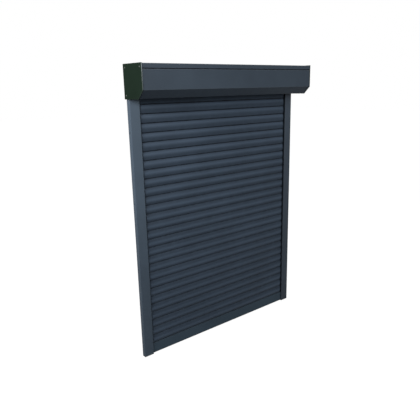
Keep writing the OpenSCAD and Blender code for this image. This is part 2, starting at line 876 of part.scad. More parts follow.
module curtain_hangers() {
    color(galvanised) difference() {
        at_axis() for (x = hanger_places) x_run(x - hanger_w / 2, x + hanger_w / 2) hanger_section();
        hanger_rivet_holes();
    }
}

module hanger_rivets() {
    color(bright_steel) at_hanger_rivets() {
        translate([0, 0, -tube_wall]) cylinder(h = tube_wall + hanger_t + eps, d = hanger_rivet_d);
        translate([0, 0, hanger_t]) cylinder(h = hanger_rivet_h, d = hanger_rivet_head);
    }
}

box_top_shell();
front_cover();
cover_screws();
left_hand() end_cap();  // end_cap_left
end_cap();  // end_cap_right
cap_rivets();
left_hand() rail();  // rail_left
rail();  // rail_right
left_hand() rail_foot();  // rail_foot_left
rail_foot();  // rail_foot_right
left_hand() rail_seals();  // rail_seals_left
rail_seals();  // rail_seals_right
left_hand() inlet_guide();  // inlet_guide_left
inlet_guide();  // inlet_guide_right
winding_tube();
idler_cap();
idler_spindle();
left_hand() bearing();  // bearing_left
strap_pulley();
pulley_axle();
bearing();  // bearing_right
strap_outlet();
curtain_hangers();
hanger_rivets();
bottom_bar();
bottom_seal();
bar_end_plugs();
for (i = [1 : slat_count]) slat(i);
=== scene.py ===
import json
import math

import bmesh
import bpy
from mathutils import Matrix, Vector, noise


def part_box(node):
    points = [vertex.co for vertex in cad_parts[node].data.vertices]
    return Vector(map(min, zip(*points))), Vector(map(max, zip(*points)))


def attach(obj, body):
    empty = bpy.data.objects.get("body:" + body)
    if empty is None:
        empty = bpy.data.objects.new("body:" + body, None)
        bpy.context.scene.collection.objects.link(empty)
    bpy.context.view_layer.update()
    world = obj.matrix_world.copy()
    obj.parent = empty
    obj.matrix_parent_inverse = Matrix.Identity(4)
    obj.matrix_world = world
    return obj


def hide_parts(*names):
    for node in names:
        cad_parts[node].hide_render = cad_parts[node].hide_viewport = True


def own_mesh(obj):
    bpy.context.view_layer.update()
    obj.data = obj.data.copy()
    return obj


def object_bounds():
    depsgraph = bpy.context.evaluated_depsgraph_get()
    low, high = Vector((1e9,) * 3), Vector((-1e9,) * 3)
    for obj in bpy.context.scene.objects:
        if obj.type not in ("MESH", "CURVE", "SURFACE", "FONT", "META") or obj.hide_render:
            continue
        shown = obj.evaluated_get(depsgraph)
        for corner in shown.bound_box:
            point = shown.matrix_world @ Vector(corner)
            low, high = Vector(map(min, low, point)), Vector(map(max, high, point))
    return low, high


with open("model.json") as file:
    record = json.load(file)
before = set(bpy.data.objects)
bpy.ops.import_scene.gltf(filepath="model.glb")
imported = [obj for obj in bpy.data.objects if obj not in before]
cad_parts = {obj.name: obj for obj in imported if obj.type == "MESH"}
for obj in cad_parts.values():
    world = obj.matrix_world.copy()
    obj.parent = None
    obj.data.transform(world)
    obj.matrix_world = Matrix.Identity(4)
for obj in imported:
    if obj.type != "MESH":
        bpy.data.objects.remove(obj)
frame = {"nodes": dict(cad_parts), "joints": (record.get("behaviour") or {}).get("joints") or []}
cad_low, cad_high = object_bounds()


# Guide rails
# An aluminium extrusion stands down each side of the opening, with a closed screw chamber and an open
# channel for the slat ends. Screws through the web of the channel hold it to the reveal. It is powder
# coated; the left one is painted paler as painted light and the right one darker as painted shade, and
# both carry painted shade in the channel, round its mouth and towards the foot.

sides = ((-1, "left"), (1, "right"))
rail_low, rail_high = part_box("rail_right")
rail_w = rail_high.x - rail_low.x
rail_d = rail_high.y - rail_low.y
rail_wall = 0.0016
rail_edge_r = 0.002
chamber_w = 0.015
lip_t = 0.0012
lip_h = 0.0022
lip_low = rail_wall + lip_h
pile_pocket = 0.005
pocket_out = rail_w - lip_t - pile_pocket
channel_in = pocket_out - lip_t
rail_cuts_x = [rail_wall, chamber_w - rail_wall, chamber_w, channel_in, pocket_out, rail_w - lip_t]
rail_hollows = [
    ((rail_wall, rail_wall), (chamber_w - rail_wall, rail_d - rail_wall)),
    ((chamber_w, rail_wall), (channel_in, rail_d - rail_wall)),
    ((pocket_out, rail_wall), (rail_w - lip_t, rail_d - rail_wall)),
    ((chamber_w, lip_low), (rail_w, rail_d - lip_low)),
]
screw_heights = [0.130, 0.430, 0.730, 1.030]
screw_hole_r = 0.0026
screw_access_r = 0.005
hole_border = 0.001
# Painted shade on the rails: darker towards the foot, and dark in the channel and round its mouth.
foot_shade = 0.40
mouth_shade = 3
# Lit and shaded copies of the rail coat: the left one is painted light, the right one painted shade.
rail_colours_lit_and_shaded = {"left": (0.070, 0.096, 0.128, 1), "right": (0.047, 0.063, 0.084, 1)}
hair = 1e-6
same_place = 1e-7
far = 1
square_on = 0.9
noise_span = (0.3, 0.7)
grain_relief = 0.25
middle_grey = (0.1, 0.1, 0.1, 1)


def place(tree, kind, inputs=None, **settings):
    """Adds a node: inputs holds values or sockets by the name or number of the input."""
    node = tree.nodes.new(kind)
    for name, value in settings.items():
        setattr(node, name, value)
    for key, value in (inputs or {}).items():
        if isinstance(value, bpy.types.NodeSocket):
            tree.links.new(value, node.inputs[key])
        else:
            node.inputs[key].default_value = value
    return node


def effect(tree, group, **values):
    """Adds a node group with its values and returns its outputs."""
    return place(tree, "ShaderNodeGroup", values, node_tree=group).outputs


def new_group(name, inputs, *outputs):
    """Starts a shader node group from the values of its inputs and the names of its outputs."""
    tree = bpy.data.node_groups.new(name, "ShaderNodeTree")
    kinds = {"Colour": "NodeSocketColor"}
    for label, value in inputs.items():
        kind = kinds.get(label, "NodeSocketFloat")
        tree.interface.new_socket(label, in_out="INPUT", socket_type=kind).default_value = value
    for label in outputs:
        kind = kinds.get(label, "NodeSocketFloat")
        tree.interface.new_socket(label, in_out="OUTPUT", socket_type=kind)
    return tree, tree.nodes.new("NodeGroupInput").outputs, tree.nodes.new("NodeGroupOutput")


def send(tree, output, **values):
    for name, socket in values.items():
        tree.links.new(socket, output.inputs[name])


def object_place(tree):
    return place(tree, "ShaderNodeTexCoord").outputs["Object"]


def speckle(tree, vector, scale, detail, rough=0.5):
    texture = place(tree, "ShaderNodeTexNoise", {"Vector": vector, "Scale": scale, "Detail": detail,
                                                 "Roughness": rough})
    return texture.outputs["Fac"]


def remap(tree, value, span, to):
    node = place(tree, "ShaderNodeMapRange", {"Value": value, "From Min": span[0], "From Max": span[1],
                                              "To Min": to[0], "To Max": to[1]})
    return node.outputs["Result"]


def calc(tree, operation, first, *others):
    """Runs one operation through its values from left to right."""
    for other in others:
        first = place(tree, "ShaderNodeMath", {0: first, 1: other}, operation=operation).outputs[0]
    return first


def shaded(tree, colour, tone):
    return place(tree, "ShaderNodeVectorMath", {0: colour, "Scale": tone}, operation="SCALE").outputs[0]


def mixed(tree, factor, first, second):
    """Mixes two colours, whose sockets the mix node has under these numbers."""
    return place(tree, "ShaderNodeMix", {0: factor, 6: first, 7: second}, data_type="RGBA").outputs[2]


def coat_group():
    """Baked paint: slow drifts of tone, a fine grain and the orange peel of the film."""
    tree, given, out = new_group("baked_coat", {"Colour": middle_grey, "Drift": 0.1, "Gloss": 0.4},
                                 "Colour", "Roughness", "Height")
    here = object_place(tree)
    slow = speckle(tree, here, scale=5, detail=4)
    grain = speckle(tree, here, scale=1500, detail=2)
    peel = speckle(tree, here, scale=420, detail=1)
    sway = calc(tree, "MULTIPLY", remap(tree, slow, noise_span, (-1, 1)), given["Drift"])
    tone = calc(tree, "ADD", sway, 1, remap(tree, grain, (0, 1), (-0.05, 0.05)))
    matt = calc(tree, "ADD", given["Gloss"], remap(tree, slow, noise_span, (-0.04, 0.04)),
                remap(tree, grain, (0, 1), (-0.06, 0.06)))
    height = calc(tree, "ADD", peel, calc(tree, "MULTIPLY", grain, grain_relief))
    send(tree, out, Colour=shaded(tree, given["Colour"], tone), Roughness=matt, Height=height)
    return tree


def dust_group():
    """Pale dust that settles on faces that look up, thicker in patches."""
    tree, given, out = new_group("settled_dust", {"Amount": 1}, "Mask")
    where = place(tree, "ShaderNodeTexCoord").outputs
    up = place(tree, "ShaderNodeSeparateXYZ", {0: where["Normal"]}).outputs["Z"]
    facing = remap(tree, up, (0.25, 1), (0, 1))
    cloud = speckle(tree, where["Object"], scale=24, detail=6, rough=0.65)
    patch = remap(tree, cloud, (0.35, 0.75), (0.25, 1))
    send(tree, out, Mask=calc(tree, "MULTIPLY", facing, patch, given["Amount"]))
    return tree


def marked_group(name, attribute, scale, rough, least):
    """Patchy mask from a mesh attribute: wear with painted highlight, dirt with painted shade."""
    tree, given, out = new_group(name, {"Amount": 1}, "Mask")
    marked = place(tree, "ShaderNodeAttribute", attribute_name=attribute).outputs["Fac"]
    cloud = speckle(tree, object_place(tree), scale, detail=5, rough=rough)
    patch = remap(tree, cloud, noise_span, (least, 1))
    send(tree, out, Mask=calc(tree, "MULTIPLY", marked, patch, given["Amount"]))
    return tree


baked_coat = coat_group()
settled_dust = dust_group()
# Masks of edge wear with a painted highlight, and of dirt with painted shade, from mesh attributes.
rubbed_edge = marked_group("rubbed_edge", "edge", scale=60, rough=0.65, least=0.55)
joint_grime = marked_group("joint_grime", "grime", scale=45, rough=0.6, least=0.8)
dust_colour = (0.30, 0.29, 0.27, 1)
dust_dulls = 4
dirt_and_shade_colour = (0.004, 0.005, 0.007, 1)
dirt_and_shade_dulls = 0.3
# Colour of bare metal on worn edges, and of the painted highlight on the end plates' front edges.
bare_metal_and_highlight = (0.39, 0.43, 0.46, 1)


def new_material(name, plain):
    """Starts a material: plain holds the shader's uniform values by the name of the input."""
    material = bpy.data.materials.new(name)
    material.use_nodes = True
    tree = material.node_tree
    shader = tree.nodes["Principled BSDF"]
    for label, value in plain.items():
        shader.inputs[label].default_value = value
    return material, tree, shader


def surface(tree, shader, colour, rough, height, strength, distance=0.0002):
    """Feeds the shader a colour, a roughness and the bump of a height."""
    bump = place(tree, "ShaderNodeBump", {"Height": height, "Strength": strength, "Distance": distance})
    tree.links.new(colour, shader.inputs["Base Color"])
    tree.links.new(rough, shader.inputs["Roughness"])
    tree.links.new(bump.outputs["Normal"], shader.inputs["Normal"])


def painted(name, colour, gloss, ior=1.12, drift=0.10, dust=0.12, wear_and_highlight=0.12, grime=0.9):
    """Painted aluminium: coat, dust, worn edges and painted highlight, dirt and painted shade."""
    material, tree, shader = new_material(name, {"IOR": ior})
    coat = effect(tree, baked_coat, Colour=colour, Drift=drift, Gloss=gloss)
    dusty = effect(tree, settled_dust, Amount=dust)["Mask"]
    wear_highlight_mark = effect(tree, rubbed_edge, Amount=wear_and_highlight)["Mask"]
    dirt_and_shade_mask = effect(tree, joint_grime, Amount=grime)["Mask"]
    base = mixed(tree, dusty, coat["Colour"], dust_colour)
    base = mixed(tree, wear_highlight_mark, base, bare_metal_and_highlight)
    base = mixed(tree, dirt_and_shade_mask, base, dirt_and_shade_colour)
    dull = calc(tree, "MAXIMUM", calc(tree, "MULTIPLY", dusty, dust_dulls),
                calc(tree, "MULTIPLY", dirt_and_shade_mask, dirt_and_shade_dulls))
    rough = calc(tree, "ADD", coat["Roughness"], dull)
    surface(tree, shader, base, rough, coat["Height"], strength=0.08)
    return material


def whole(faces):
    """Faces with their edges and corners, each once."""
    return list(dict.fromkeys(part for face in faces for part in (face, *face.edges, *face.verts)))


def verts_in(geom):
    return [part for part in geom if isinstance(part, bmesh.types.BMVert)]


def move(bm, by):
    bmesh.ops.translate(bm, verts=bm.verts, vec=by)


def face_outward(bm):
    bmesh.ops.recalc_face_normals(bm, faces=bm.faces[:])


def cut(bm, faces, at, across):
    """Cuts faces along the plane through a point, square to a direction."""
    bmesh.ops.bisect_plane(bm, geom=whole(faces), dist=same_place, plane_co=at, plane_no=across)


def cut_lines(bm, x_lines, y_lines):
    """Cuts a flat shape along lines across X and across Y."""
    for lines, across in ((x_lines, Vector((1, 0, 0))), (y_lines, Vector((0, 1, 0)))):
        for line in lines:
            cut(bm, bm.faces, across * line, across)


def both_sides(width, *insets):
    """Lines at the same insets from both sides of a width."""
    return [*insets, *(width - inset for inset in insets)]


def round_corners(bm, radius, segments):
    bmesh.ops.bevel(bm, geom=bm.verts[:], affect="VERTICES", offset=radius, segments=segments,
                    profile=0.5, material=-1)


def cut_rectangle(width, depth, radius, x_lines, y_lines):
    """Flat rectangle from the origin with round corners, cut along the given lines."""
    bm = bmesh.new()
    bmesh.ops.create_grid(bm, x_segments=1, y_segments=1, size=0.5)
    move(bm, (0.5, 0.5, 0))
    bmesh.ops.scale(bm, verts=bm.verts, vec=(width, depth, 1))
    round_corners(bm, radius, segments=5)
    cut_lines(bm, x_lines, y_lines)
    return bm


def faces_within(bm, low, high):
    """Faces whose middle lies inside a box."""
    middles = [(face, face.calc_center_median()) for face in bm.faces]
    return [face for face, middle in middles if all(a < c < b for a, c, b in zip(low, middle, high))]


def drop_within(bm, low, high):
    bmesh.ops.delete(bm, geom=faces_within(bm, low, high), context="FACES")


def raise_faces(bm, faces, by):
    """Extrudes faces and returns the new ones."""
    grown = bmesh.ops.extrude_face_region(bm, geom=whole(faces))["geom"]
    bmesh.ops.translate(bm, verts=verts_in(grown), vec=by)
    return [part for part in grown if isinstance(part, bmesh.types.BMFace)]


def round_edges(bm, edges, radius, segments=3):
    """Rounds edges and marks the new faces for worn metal along them."""
    mark = bm.faces.layers.float.get("edge") or bm.faces.layers.float.new("edge")
    made = bmesh.ops.bevel(bm, geom=edges, affect="EDGES", offset=radius, segments=segments, profile=0.5,
                           material=-1, clamp_overlap=True)
    for face in made["faces"]:
        face[mark] = 1


def mark_dirt_and_shade(bm, depth):
    """Marks each vertex with its share of dirt and painted shade, which depth gives for its place."""
    layer = bm.verts.layers.float.new("grime")
    for vert in bm.verts:
        vert[layer] = min(1, max(0, depth(vert.co)))


def spans(face, axis, value):
    along = [getattr(vert.co, axis) for vert in face.verts]
    return min(along) < value < max(along)


def wall_patch(bm, x, z, half):
    """Square of the wall at depth x round a screw, cut out of the long face there."""
    middle = Vector((x, rail_d / 2, z))
    for level in (z - half, z + half):
        wall = next(face for face in bm.faces
                    if abs(face.calc_center_median().x - x) < hair and abs(face.normal.x) > square_on
                    and spans(face, "y", middle.y) and spans(face, "z", level))
        cut(bm, [wall], (0, 0, level), (0, 0, 1))
    return min((face for face in bm.faces if abs(face.normal.x) > square_on),
               key=lambda face: (face.calc_center_median() - middle).length)


def hole_rim(bm, patch, radius):
    """Opens a round hole in a square face and returns the edges of its rim."""
    centre = patch.calc_center_median()
    bmesh.ops.subdivide_edges(bm, edges=patch.edges[:], cuts=3)
    bmesh.ops.inset_region(bm, faces=[patch], thickness=hole_border)
    for vert in patch.verts:
        vert.co = centre + (vert.co - centre).normalized() * radius
    rim = patch.edges[:]
    bmesh.ops.delete(bm, geom=[patch], context="FACES_ONLY")
    return rim


def new_piece(name, bm, material, body, slot, *stands_for, sharp=30):
    """Makes a piece of a finished bmesh, smooth up to the sharp angle, riding on its body."""
    mesh = bpy.data.meshes.new(name)
    face_outward(bm)
    bm.to_mesh(mesh)
    bm.free()
    mesh.materials.append(material)
    mesh.shade_smooth()
    mesh.set_sharp_from_angle(angle=math.radians(sharp))
    piece = bpy.data.objects.new(name, mesh)
    bpy.context.scene.collection.objects.link(piece)
    even = piece.modifiers.new("even_normals", "WEIGHTED_NORMAL")
    even.keep_sharp = True
    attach(piece, body)
    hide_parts(*stands_for)
    return piece


def at_rail(bm, side):
    """Moves a piece that is measured inwards from the rail's outer side to its place."""
    bmesh.ops.scale(bm, verts=bm.verts, vec=(-side, 1, 1))
    move(bm, (side * rail_high.x, rail_low.y, 0))


def rail_mesh():
    bm = cut_rectangle(rail_w, rail_d, rail_edge_r, rail_cuts_x, both_sides(rail_d, rail_wall, lip_low))
    for low, high in rail_hollows:
        drop_within(bm, (*low, -far), (*high, far))
    move(bm, (0, 0, rail_low.z))
    raise_faces(bm, bm.faces, (0, 0, rail_high.z - rail_low.z))
    face_outward(bm)
    walls = (((0, rail_wall), screw_hole_r), ((chamber_w - rail_wall, chamber_w), screw_access_r))
    patch_half = rail_d / 2 - lip_low
    for z in screw_heights:
        for depths, radius in walls:
            rims = [hole_rim(bm, wall_patch(bm, x, z, patch_half), radius) for x in depths]
            bmesh.ops.bridge_loops(bm, edges=rims[0] + rims[1])
    return bm


def rail_shade(co):
    """Painted shade: dark in the channel and round its mouth, and darker towards the foot."""
    depth = min(co.y, rail_d - co.y)
    foot_falloff = foot_shade * (rail_high.z - co.z) / rail_high.z
    if co.x < chamber_w - hair:
        return foot_falloff
    if co.x > rail_w - rail_edge_r - hair and depth < rail_edge_r + hair:
        inward = (co.x - rail_w + rail_edge_r) / rail_edge_r
        return max(foot_falloff, mouth_shade * depth / rail_edge_r * inward)
    return 1 if depth > rail_wall - hair else foot_falloff


for side, word in sides:
    rail_coat = painted("rail_coat_" + word, rail_colours_lit_and_shaded[word], gloss=0.42, ior=1.2, grime=1.1)
    bm = rail_mesh()
    mark_dirt_and_shade(bm, rail_shade)
    at_rail(bm, side)
    new_piece("guide_rail_" + word, bm, rail_coat, "frame", "rail_coat", "rail_" + word)


# Rail feet
# Each rail ends in a black moulded plug: a plate as large as the rail, rounded along its lower edge,
# with a hollow peg that is pushed up into the screw chamber.

foot_low, foot_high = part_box("rail_foot_right")
foot_plate_t = rail_low.z - foot_low.z
foot_edge_r = 0.0026
peg_gap = 0.00025
peg_wall = 0.002
peg_out = rail_wall + peg_gap
peg_in = peg_out + peg_wall
black_plastic = (0.014, 0.015, 0.016, 1)
cell_span = (0, 0.8)
sharp_turn = 1


def moulding_group():
    """Spark-eroded grain of a moulded surface, with a slow drift of tone."""
    tree, given, out = new_group("moulded_grain", {"Colour": middle_grey}, "Colour", "Roughness", "Height")
    here = object_place(tree)
    cells = place(tree, "ShaderNodeTexVoronoi", {"Vector": here, "Scale": 1400}).outputs["Distance"]
    slow = speckle(tree, here, scale=18, detail=4)
    tone = calc(tree, "ADD", remap(tree, slow, noise_span, (0.88, 1.12)),
                remap(tree, cells, cell_span, (-0.1, 0.1)))
    matt = calc(tree, "ADD", remap(tree, cells, cell_span, (0.46, 0.58)),
                remap(tree, slow, noise_span, (-0.05, 0.05)))
    send(tree, out, Colour=shaded(tree, given["Colour"], tone), Roughness=matt, Height=cells)
    return tree


moulded_grain = moulding_group()


def moulded(name, colour, dust):
    """Moulded plastic with its grain and a little dust."""
    material, tree, shader = new_material(name, {"Specular IOR Level": 0.12})
    grain = effect(tree, moulded_grain, Colour=colour)
    dusty = effect(tree, settled_dust, Amount=dust)["Mask"]
    base = mixed(tree, dusty, grain["Colour"], dust_colour)
    surface(tree, shader, base, grain["Roughness"], grain["Height"], strength=0.15)
    return material


def sharp_edges(bm, low, high):
    """Sharp edges with both ends between two heights."""
    bm.normal_update()
    sharp = [edge for edge in bm.edges if edge.calc_face_angle(0) > sharp_turn]
    return [edge for edge in sharp if all(low < vert.co.z < high for vert in edge.verts)]


def foot_mesh():
    bm = cut_rectangle(rail_w, rail_d, rail_edge_r, both_sides(chamber_w, peg_out, peg_in),
                       both_sides(rail_d, peg_out, peg_in))
    top = raise_faces(bm, bm.faces, (0, 0, foot_plate_t))
    peg = faces_within(bm, (peg_out, peg_out, hair), (chamber_w - peg_out, rail_d - peg_out, far))
    hollow = faces_within(bm, (peg_in, peg_in, hair), (chamber_w - peg_in, rail_d - peg_in, far))
    ring = [face for face in peg if face in top and face not in hollow]
    raise_faces(bm, ring, (0, 0, foot_high.z - rail_low.z))
    face_outward(bm)
    round_edges(bm, sharp_edges(bm, -hair, hair), foot_edge_r)
    return bm


moulded_dark = moulded("moulded_dark", black_plastic, dust=0.10)
for side, word in sides:
    bm = foot_mesh()
    at_rail(bm, side)
    new_piece("foot_plug_" + word, bm, moulded_dark, "frame", "moulded_dark", "rail_foot_" + word)


# Pile strips
# Woven tape with a dense standing pile is drawn into the two pockets of each rail mouth, where it
# quietens the curtain and keeps draughts out. The yarn is black polypropylene.

pile_fit = 0.0002
pile_base_t = 0.0012
pile_gap = 0.0005
slat_half = 0.0046
pile_tip = rail_d / 2 - slat_half - pile_gap
tape_corner_r = 0.0003
tuft_pitch = 0.0022
tuft_r = 0.00085
tuft_taper = 0.55
tuft_lean = 0.12
lean_change = 0.73
row_offset = 0.00035
pile_black = (0.012, 0.012, 0.013, 1)
pile_grey = (0.035, 0.035, 0.037, 1)
lint_grey = (0.10, 0.098, 0.094, 1)


def long_noise(tree, vector, scale, detail):
    """Noise drawn out into lines, with a scale of its own along each axis."""
    drawn = place(tree, "ShaderNodeMapping", {"Vector": vector, "Scale": scale}).outputs[0]
    return speckle(tree, drawn, scale=1, detail=detail)


def yarn_material():
    """Black yarn, greyer in the patches where it holds lint."""
    plain = {"Specular IOR Level": 0.1, "Sheen Weight": 0.25, "Sheen Roughness": 0.5}
    material, tree, shader = new_material("pile_yarn", plain)
    here = object_place(tree)
    fibre = long_noise(tree, here, scale=(4000, 700, 4000), detail=3)
    lint = remap(tree, speckle(tree, here, scale=140, detail=5), (0.5, 0.75), (0, 0.35))
    base = mixed(tree, lint, mixed(tree, fibre, pile_black, pile_grey), lint_grey)
    rough = remap(tree, fibre, (0, 1), (0.75, 0.95))
    surface(tree, shader, base, rough, fibre, strength=0.5, distance=0.0003)
    return material


def pile_mesh():
    """Both strips of one rail: tape in the pockets, with two staggered rows of tufts on it."""
    length = rail_high.z - rail_low.z
    bm = cut_rectangle(pile_pocket - 2 * pile_fit, pile_base_t, tape_corner_r, [], [])
    raise_faces(bm, bm.faces, (0, 0, length))
    move(bm, (pocket_out + pile_fit, rail_wall, rail_low.z))
    stand = pile_tip - rail_wall - pile_base_t
    count = int(length / tuft_pitch)
    for k in range(count):
        row = 1 if k % 2 else -1
        lean = tuft_lean * noise.noise((k * lean_change, row, 0))
        spot = Vector((pocket_out + pile_pocket / 2 + row * row_offset,
                       rail_wall + pile_base_t + stand / 2,
                       rail_low.z + (k + 0.5) * length / count))
        turn = Matrix.Rotation(-math.pi / 2, 4, "X") @ Matrix.Rotation(lean, 4, "X")
        bmesh.ops.create_cone(bm, cap_ends=True, segments=5, radius1=tuft_r, radius2=tuft_r * tuft_taper,
                              depth=stand, matrix=Matrix.Translation(spot) @ turn)
    rear = verts_in(bmesh.ops.duplicate(bm, geom=whole(bm.faces))["geom"])
    bmesh.ops.scale(bm, verts=rear, vec=(1, -1, 1))
    bmesh.ops.translate(bm, verts=rear, vec=(0, rail_d, 0))
    return bm


pile_yarn = yarn_material()
for side, word in sides:
    bm = pile_mesh()
    at_rail(bm, side)
    new_piece("pile_strips_" + word, bm, pile_yarn, "frame", "pile", "rail_seals_" + word, sharp=60)


# Inlet guides
# A moulded funnel sits in the top of each rail, with a flared lip that leads the slats from the roll
# into the channel. It is clipped between the walls of the rail and keeps its moulded black.

nodes = frame["nodes"]


def finish_nodes(material, *names):
    """Gives a material to nodes that keep their CAD shape."""
    for name in names:
        nodes[name].material_slots[0].material = material


finish_nodes(moulded_dark, "inlet_guide_left", "inlet_guide_right")


# End plates
# A die-cast plate closes each end of the box: flat outside with a rounded edge, ribbed inside, with a
# rim that the sheets are fixed over, a seat for the bearing bush, and a foot and spigot that sit in the
# rail. It has a dark green coat that is glossier than the sheets, and its rounded front edge carries a
# painted highlight, brighter towards the top and stronger on the left plate.

tube_turn = next(joint for joint in frame["joints"] if joint["name"] == "tube_turn")
tube_axis = Vector((0, 0, tube_turn["pos_m"][2]))
cap_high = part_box("end_cap_right")[1]
box_half = cap_high.y
box_cut = 0.034
box_z = rail_high.z
cap_t = 0.003
cap_in = cap_high.x - cap_t
cap_edge_r = 0.0024
cap_corner_r = 0.0012
# Painted highlight on the plates' front edges: full on the left, weaker on the right, fading down.
front_highlights = {"left": 1, "right": 0.3}
rest_edge_share = 0.12
highlight_foot = 0.25
highlight_steps = 11
rim_inset = 0.0034
rim_t = 0.002
rim_depth = 0.007
tongue_gap = (0.0393, 0.0625)
curtain_gap_y = 0.0339
curtain_gap_z = -0.0485
rim_gaps = [
    ((-box_half, tongue_gap[0]), (0, tongue_gap[1])),
    ((curtain_gap_y, -box_half), (box_half, curtain_gap_z)),
]
rib_t = 0.002
rib_depth = 0.005
rib_count = 6
rib_edge_r = 0.0004
seat_r = 0.0161
seat_wall = 0.003
seat_depth = 0.008
foot_block_t = 0.003
foot_block_r = 0.0005
spigot_l = 0.040
spigot_edge_r = 0.0006
cap_green = (0.0124, 0.0223, 0.0150, 1)


def inset_cut(inset):
    """Size of the 45 degree cut of the box section, moved in by an inset."""
    return box_cut - inset * (2 - math.sqrt(2))


def box_corners(inset):
    """Corners of the box section about the tube axis, moved in by an inset."""
    half = box_half - inset
    foot = inset_cut(inset) - half
    return [(half, -half), (half, half), (-half, half), (-half, foot), (foot, -half)]


def flat_outline(bm, corners):
    """One face in the YZ plane from its corners."""
    return bm.faces.new([bm.verts.new((0, y, z)) for y, z in corners])


def add_block(bm, low, high, radius):
    """Block between two corners, with its edges rounded."""
    size = Vector(high) - Vector(low)
    spot = Matrix.Translation(Vector(low) + size / 2) @ Matrix.Diagonal((*size, 1))
    grown = bmesh.ops.create_cube(bm, size=1, matrix=spot)["verts"]
    round_edges(bm, list({edge for vert in grown for edge in vert.link_edges}), radius, segments=2)


def merge_in(bm, other, matrix=Matrix.Identity(4)):
    """Adds another bmesh, moved by a matrix, to the first one."""
    bmesh.ops.transform(other, matrix=matrix, verts=other.verts)
    scratch = bpy.data.meshes.new("scratch")
    other.to_mesh(scratch)
    other.free()
    bm.from_mesh(scratch)
    bpy.data.meshes.remove(scratch)


def plate_mesh(front_highlight):
    """Flat plate with a rounded outer edge and a painted highlight along its front, fading downwards."""
    bm = bmesh.new()
    flat_outline(bm, box_corners(0))
    round_corners(bm, cap_corner_r, segments=3)
    outer = raise_faces(bm, bm.faces, (cap_t, 0, 0))
    face_outward(bm)
    round_edges(bm, list({edge for face in outer for edge in face.edges}), cap_edge_r, segments=5)
    front = [face for face in bm.faces if face.calc_center_median().y < cap_edge_r - box_half]
    tall = {edge for face in front for edge in face.edges if edge.calc_length() > box_cut}
    bmesh.ops.subdivide_edges(bm, edges=list(tall), cuts=highlight_steps)
    mark = bm.faces.layers.float["edge"]
    for face in bm.faces:
        middle = face.calc_center_median()
        height = (middle.z + box_half) / (2 * box_half)
        wear_highlight_mark = front_highlight * (highlight_foot + (1 - highlight_foot) * height ** 2)
        face[mark] = wear_highlight_mark if middle.y < cap_edge_r - box_half else face[mark] * rest_edge_share
    move(bm, tube_axis + Vector((cap_in, 0, 0)))
    return bm


def rim_mesh():
    """Rim inside the sheets, open where the cover's tongue and the curtain pass."""
    bm = bmesh.new()
    face = flat_outline(bm, box_corners(rim_inset))
    bmesh.ops.inset_region(bm, faces=[face], thickness=rim_t, use_even_offset=True)
    bmesh.ops.delete(bm, geom=[face], context="FACES")
    for low, high in rim_gaps:
        for y, z in (low, high):
            cut(bm, bm.faces, (0, y, 0), (0, 1, 0))
            cut(bm, bm.faces, (0, 0, z), (0, 0, 1))
        drop_within(bm, (-far, *low), (far, *high))
    raise_faces(bm, bm.faces, (-rim_depth, 0, 0))
    return bm


def seat_mesh():
    """Round seat of the bearing bush, spun about the tube axis."""
    bm = bmesh.new()
    outer_r = seat_r + seat_wall
    corners = [(0, seat_r), (0, outer_r), (-seat_depth, outer_r), (-seat_depth, seat_r)]
    ring = [bm.verts.new((x, 0, z)) for x, z in corners]
    edges = [bm.edges.new((ring[k - 1], ring[k])) for k in range(len(ring))]
    bmesh.ops.spin(bm, geom=ring + edges, cent=(0, 0, 0), axis=(1, 0, 0), angle=2 * math.pi, steps=48,
                   use_merge=True)
    return bm


def rib_reach(y, z):
    """Distance from the tube axis to the outer face of the rim along a direction."""
    half = box_half - rim_inset
    slope = 2 * half - inset_cut(rim_inset)
    return min(half / max(abs(y), hair), half / max(abs(z), hair), slope / max(-y - z, hair))


def end_plate_mesh(front_highlight):
    bm = plate_mesh(front_highlight)
    inside = Matrix.Translation(tube_axis + Vector((cap_in, 0, 0)))
    merge_in(bm, rim_mesh(), inside)
    merge_in(bm, seat_mesh(), inside)
    for k in range(rib_count):
        angle = 2 * math.pi * k / rib_count
        reach = rib_reach(math.cos(angle), math.sin(angle)) - rim_t / 2
        rib = bmesh.new()
        add_block(rib, (-rib_depth, seat_r + seat_wall / 2, -rib_t / 2),
                  (0, reach, rib_t / 2), rib_edge_r)
        merge_in(bm, rib, inside @ Matrix.Rotation(angle, 4, "X"))
    chamber_in = rail_high.x - chamber_w
    add_block(bm, (chamber_in, rail_low.y + peg_gap, box_z),
              (cap_in, box_half - rim_inset, box_z + foot_block_t), foot_block_r)
    add_block(bm, (chamber_in + peg_out, rail_low.y + peg_out, box_z - spigot_l),
              (rail_high.x - peg_out, rail_high.y - peg_out, box_z), spigot_edge_r)
    return bm


# The cap coat's high wear amount shows as the painted highlight along the plates' front edges.
cap_coat = painted("cap_coat", cap_green, gloss=0.34, ior=1.04, drift=0.16, dust=0.06, wear_and_highlight=0.58)
for side, word in sides:
    bm = end_plate_mesh(front_highlights[word])
    bmesh.ops.scale(bm, verts=bm.verts, vec=(side, 1, 1))
    new_piece("end_plate_" + word, bm, cap_coat, "frame", "cap_coat", "end_cap_" + word)


# Rivets of the end plates
# Three zinc-plated rivets with domed heads hold each end plate to the sheets inside. Their plate has
# gone dull in the weather.

dull_dark = (0.060, 0.068, 0.064, 1)
dull_light = (0.13, 0.14, 0.135, 1)


def plated_steel(name, dark, light):
    """Zinc plate: fine scratches round the piece over a slightly cloudy film."""
    material, tree, shader = new_material(name, {"Metallic": 0.9})
    here = object_place(tree)
    cloud = speckle(tree, here, scale=120, detail=4)
    scratch = long_noise(tree, here, scale=(5000, 300, 300), detail=2)
    rough = calc(tree, "ADD", remap(tree, cloud, noise_span, (0.28, 0.42)),
                 remap(tree, scratch, (0, 1), (-0.06, 0.06)))
    base = mixed(tree, cloud, dark, light)
    surface(tree, shader, base, rough, scratch, strength=0.12, distance=0.0001)
    return material


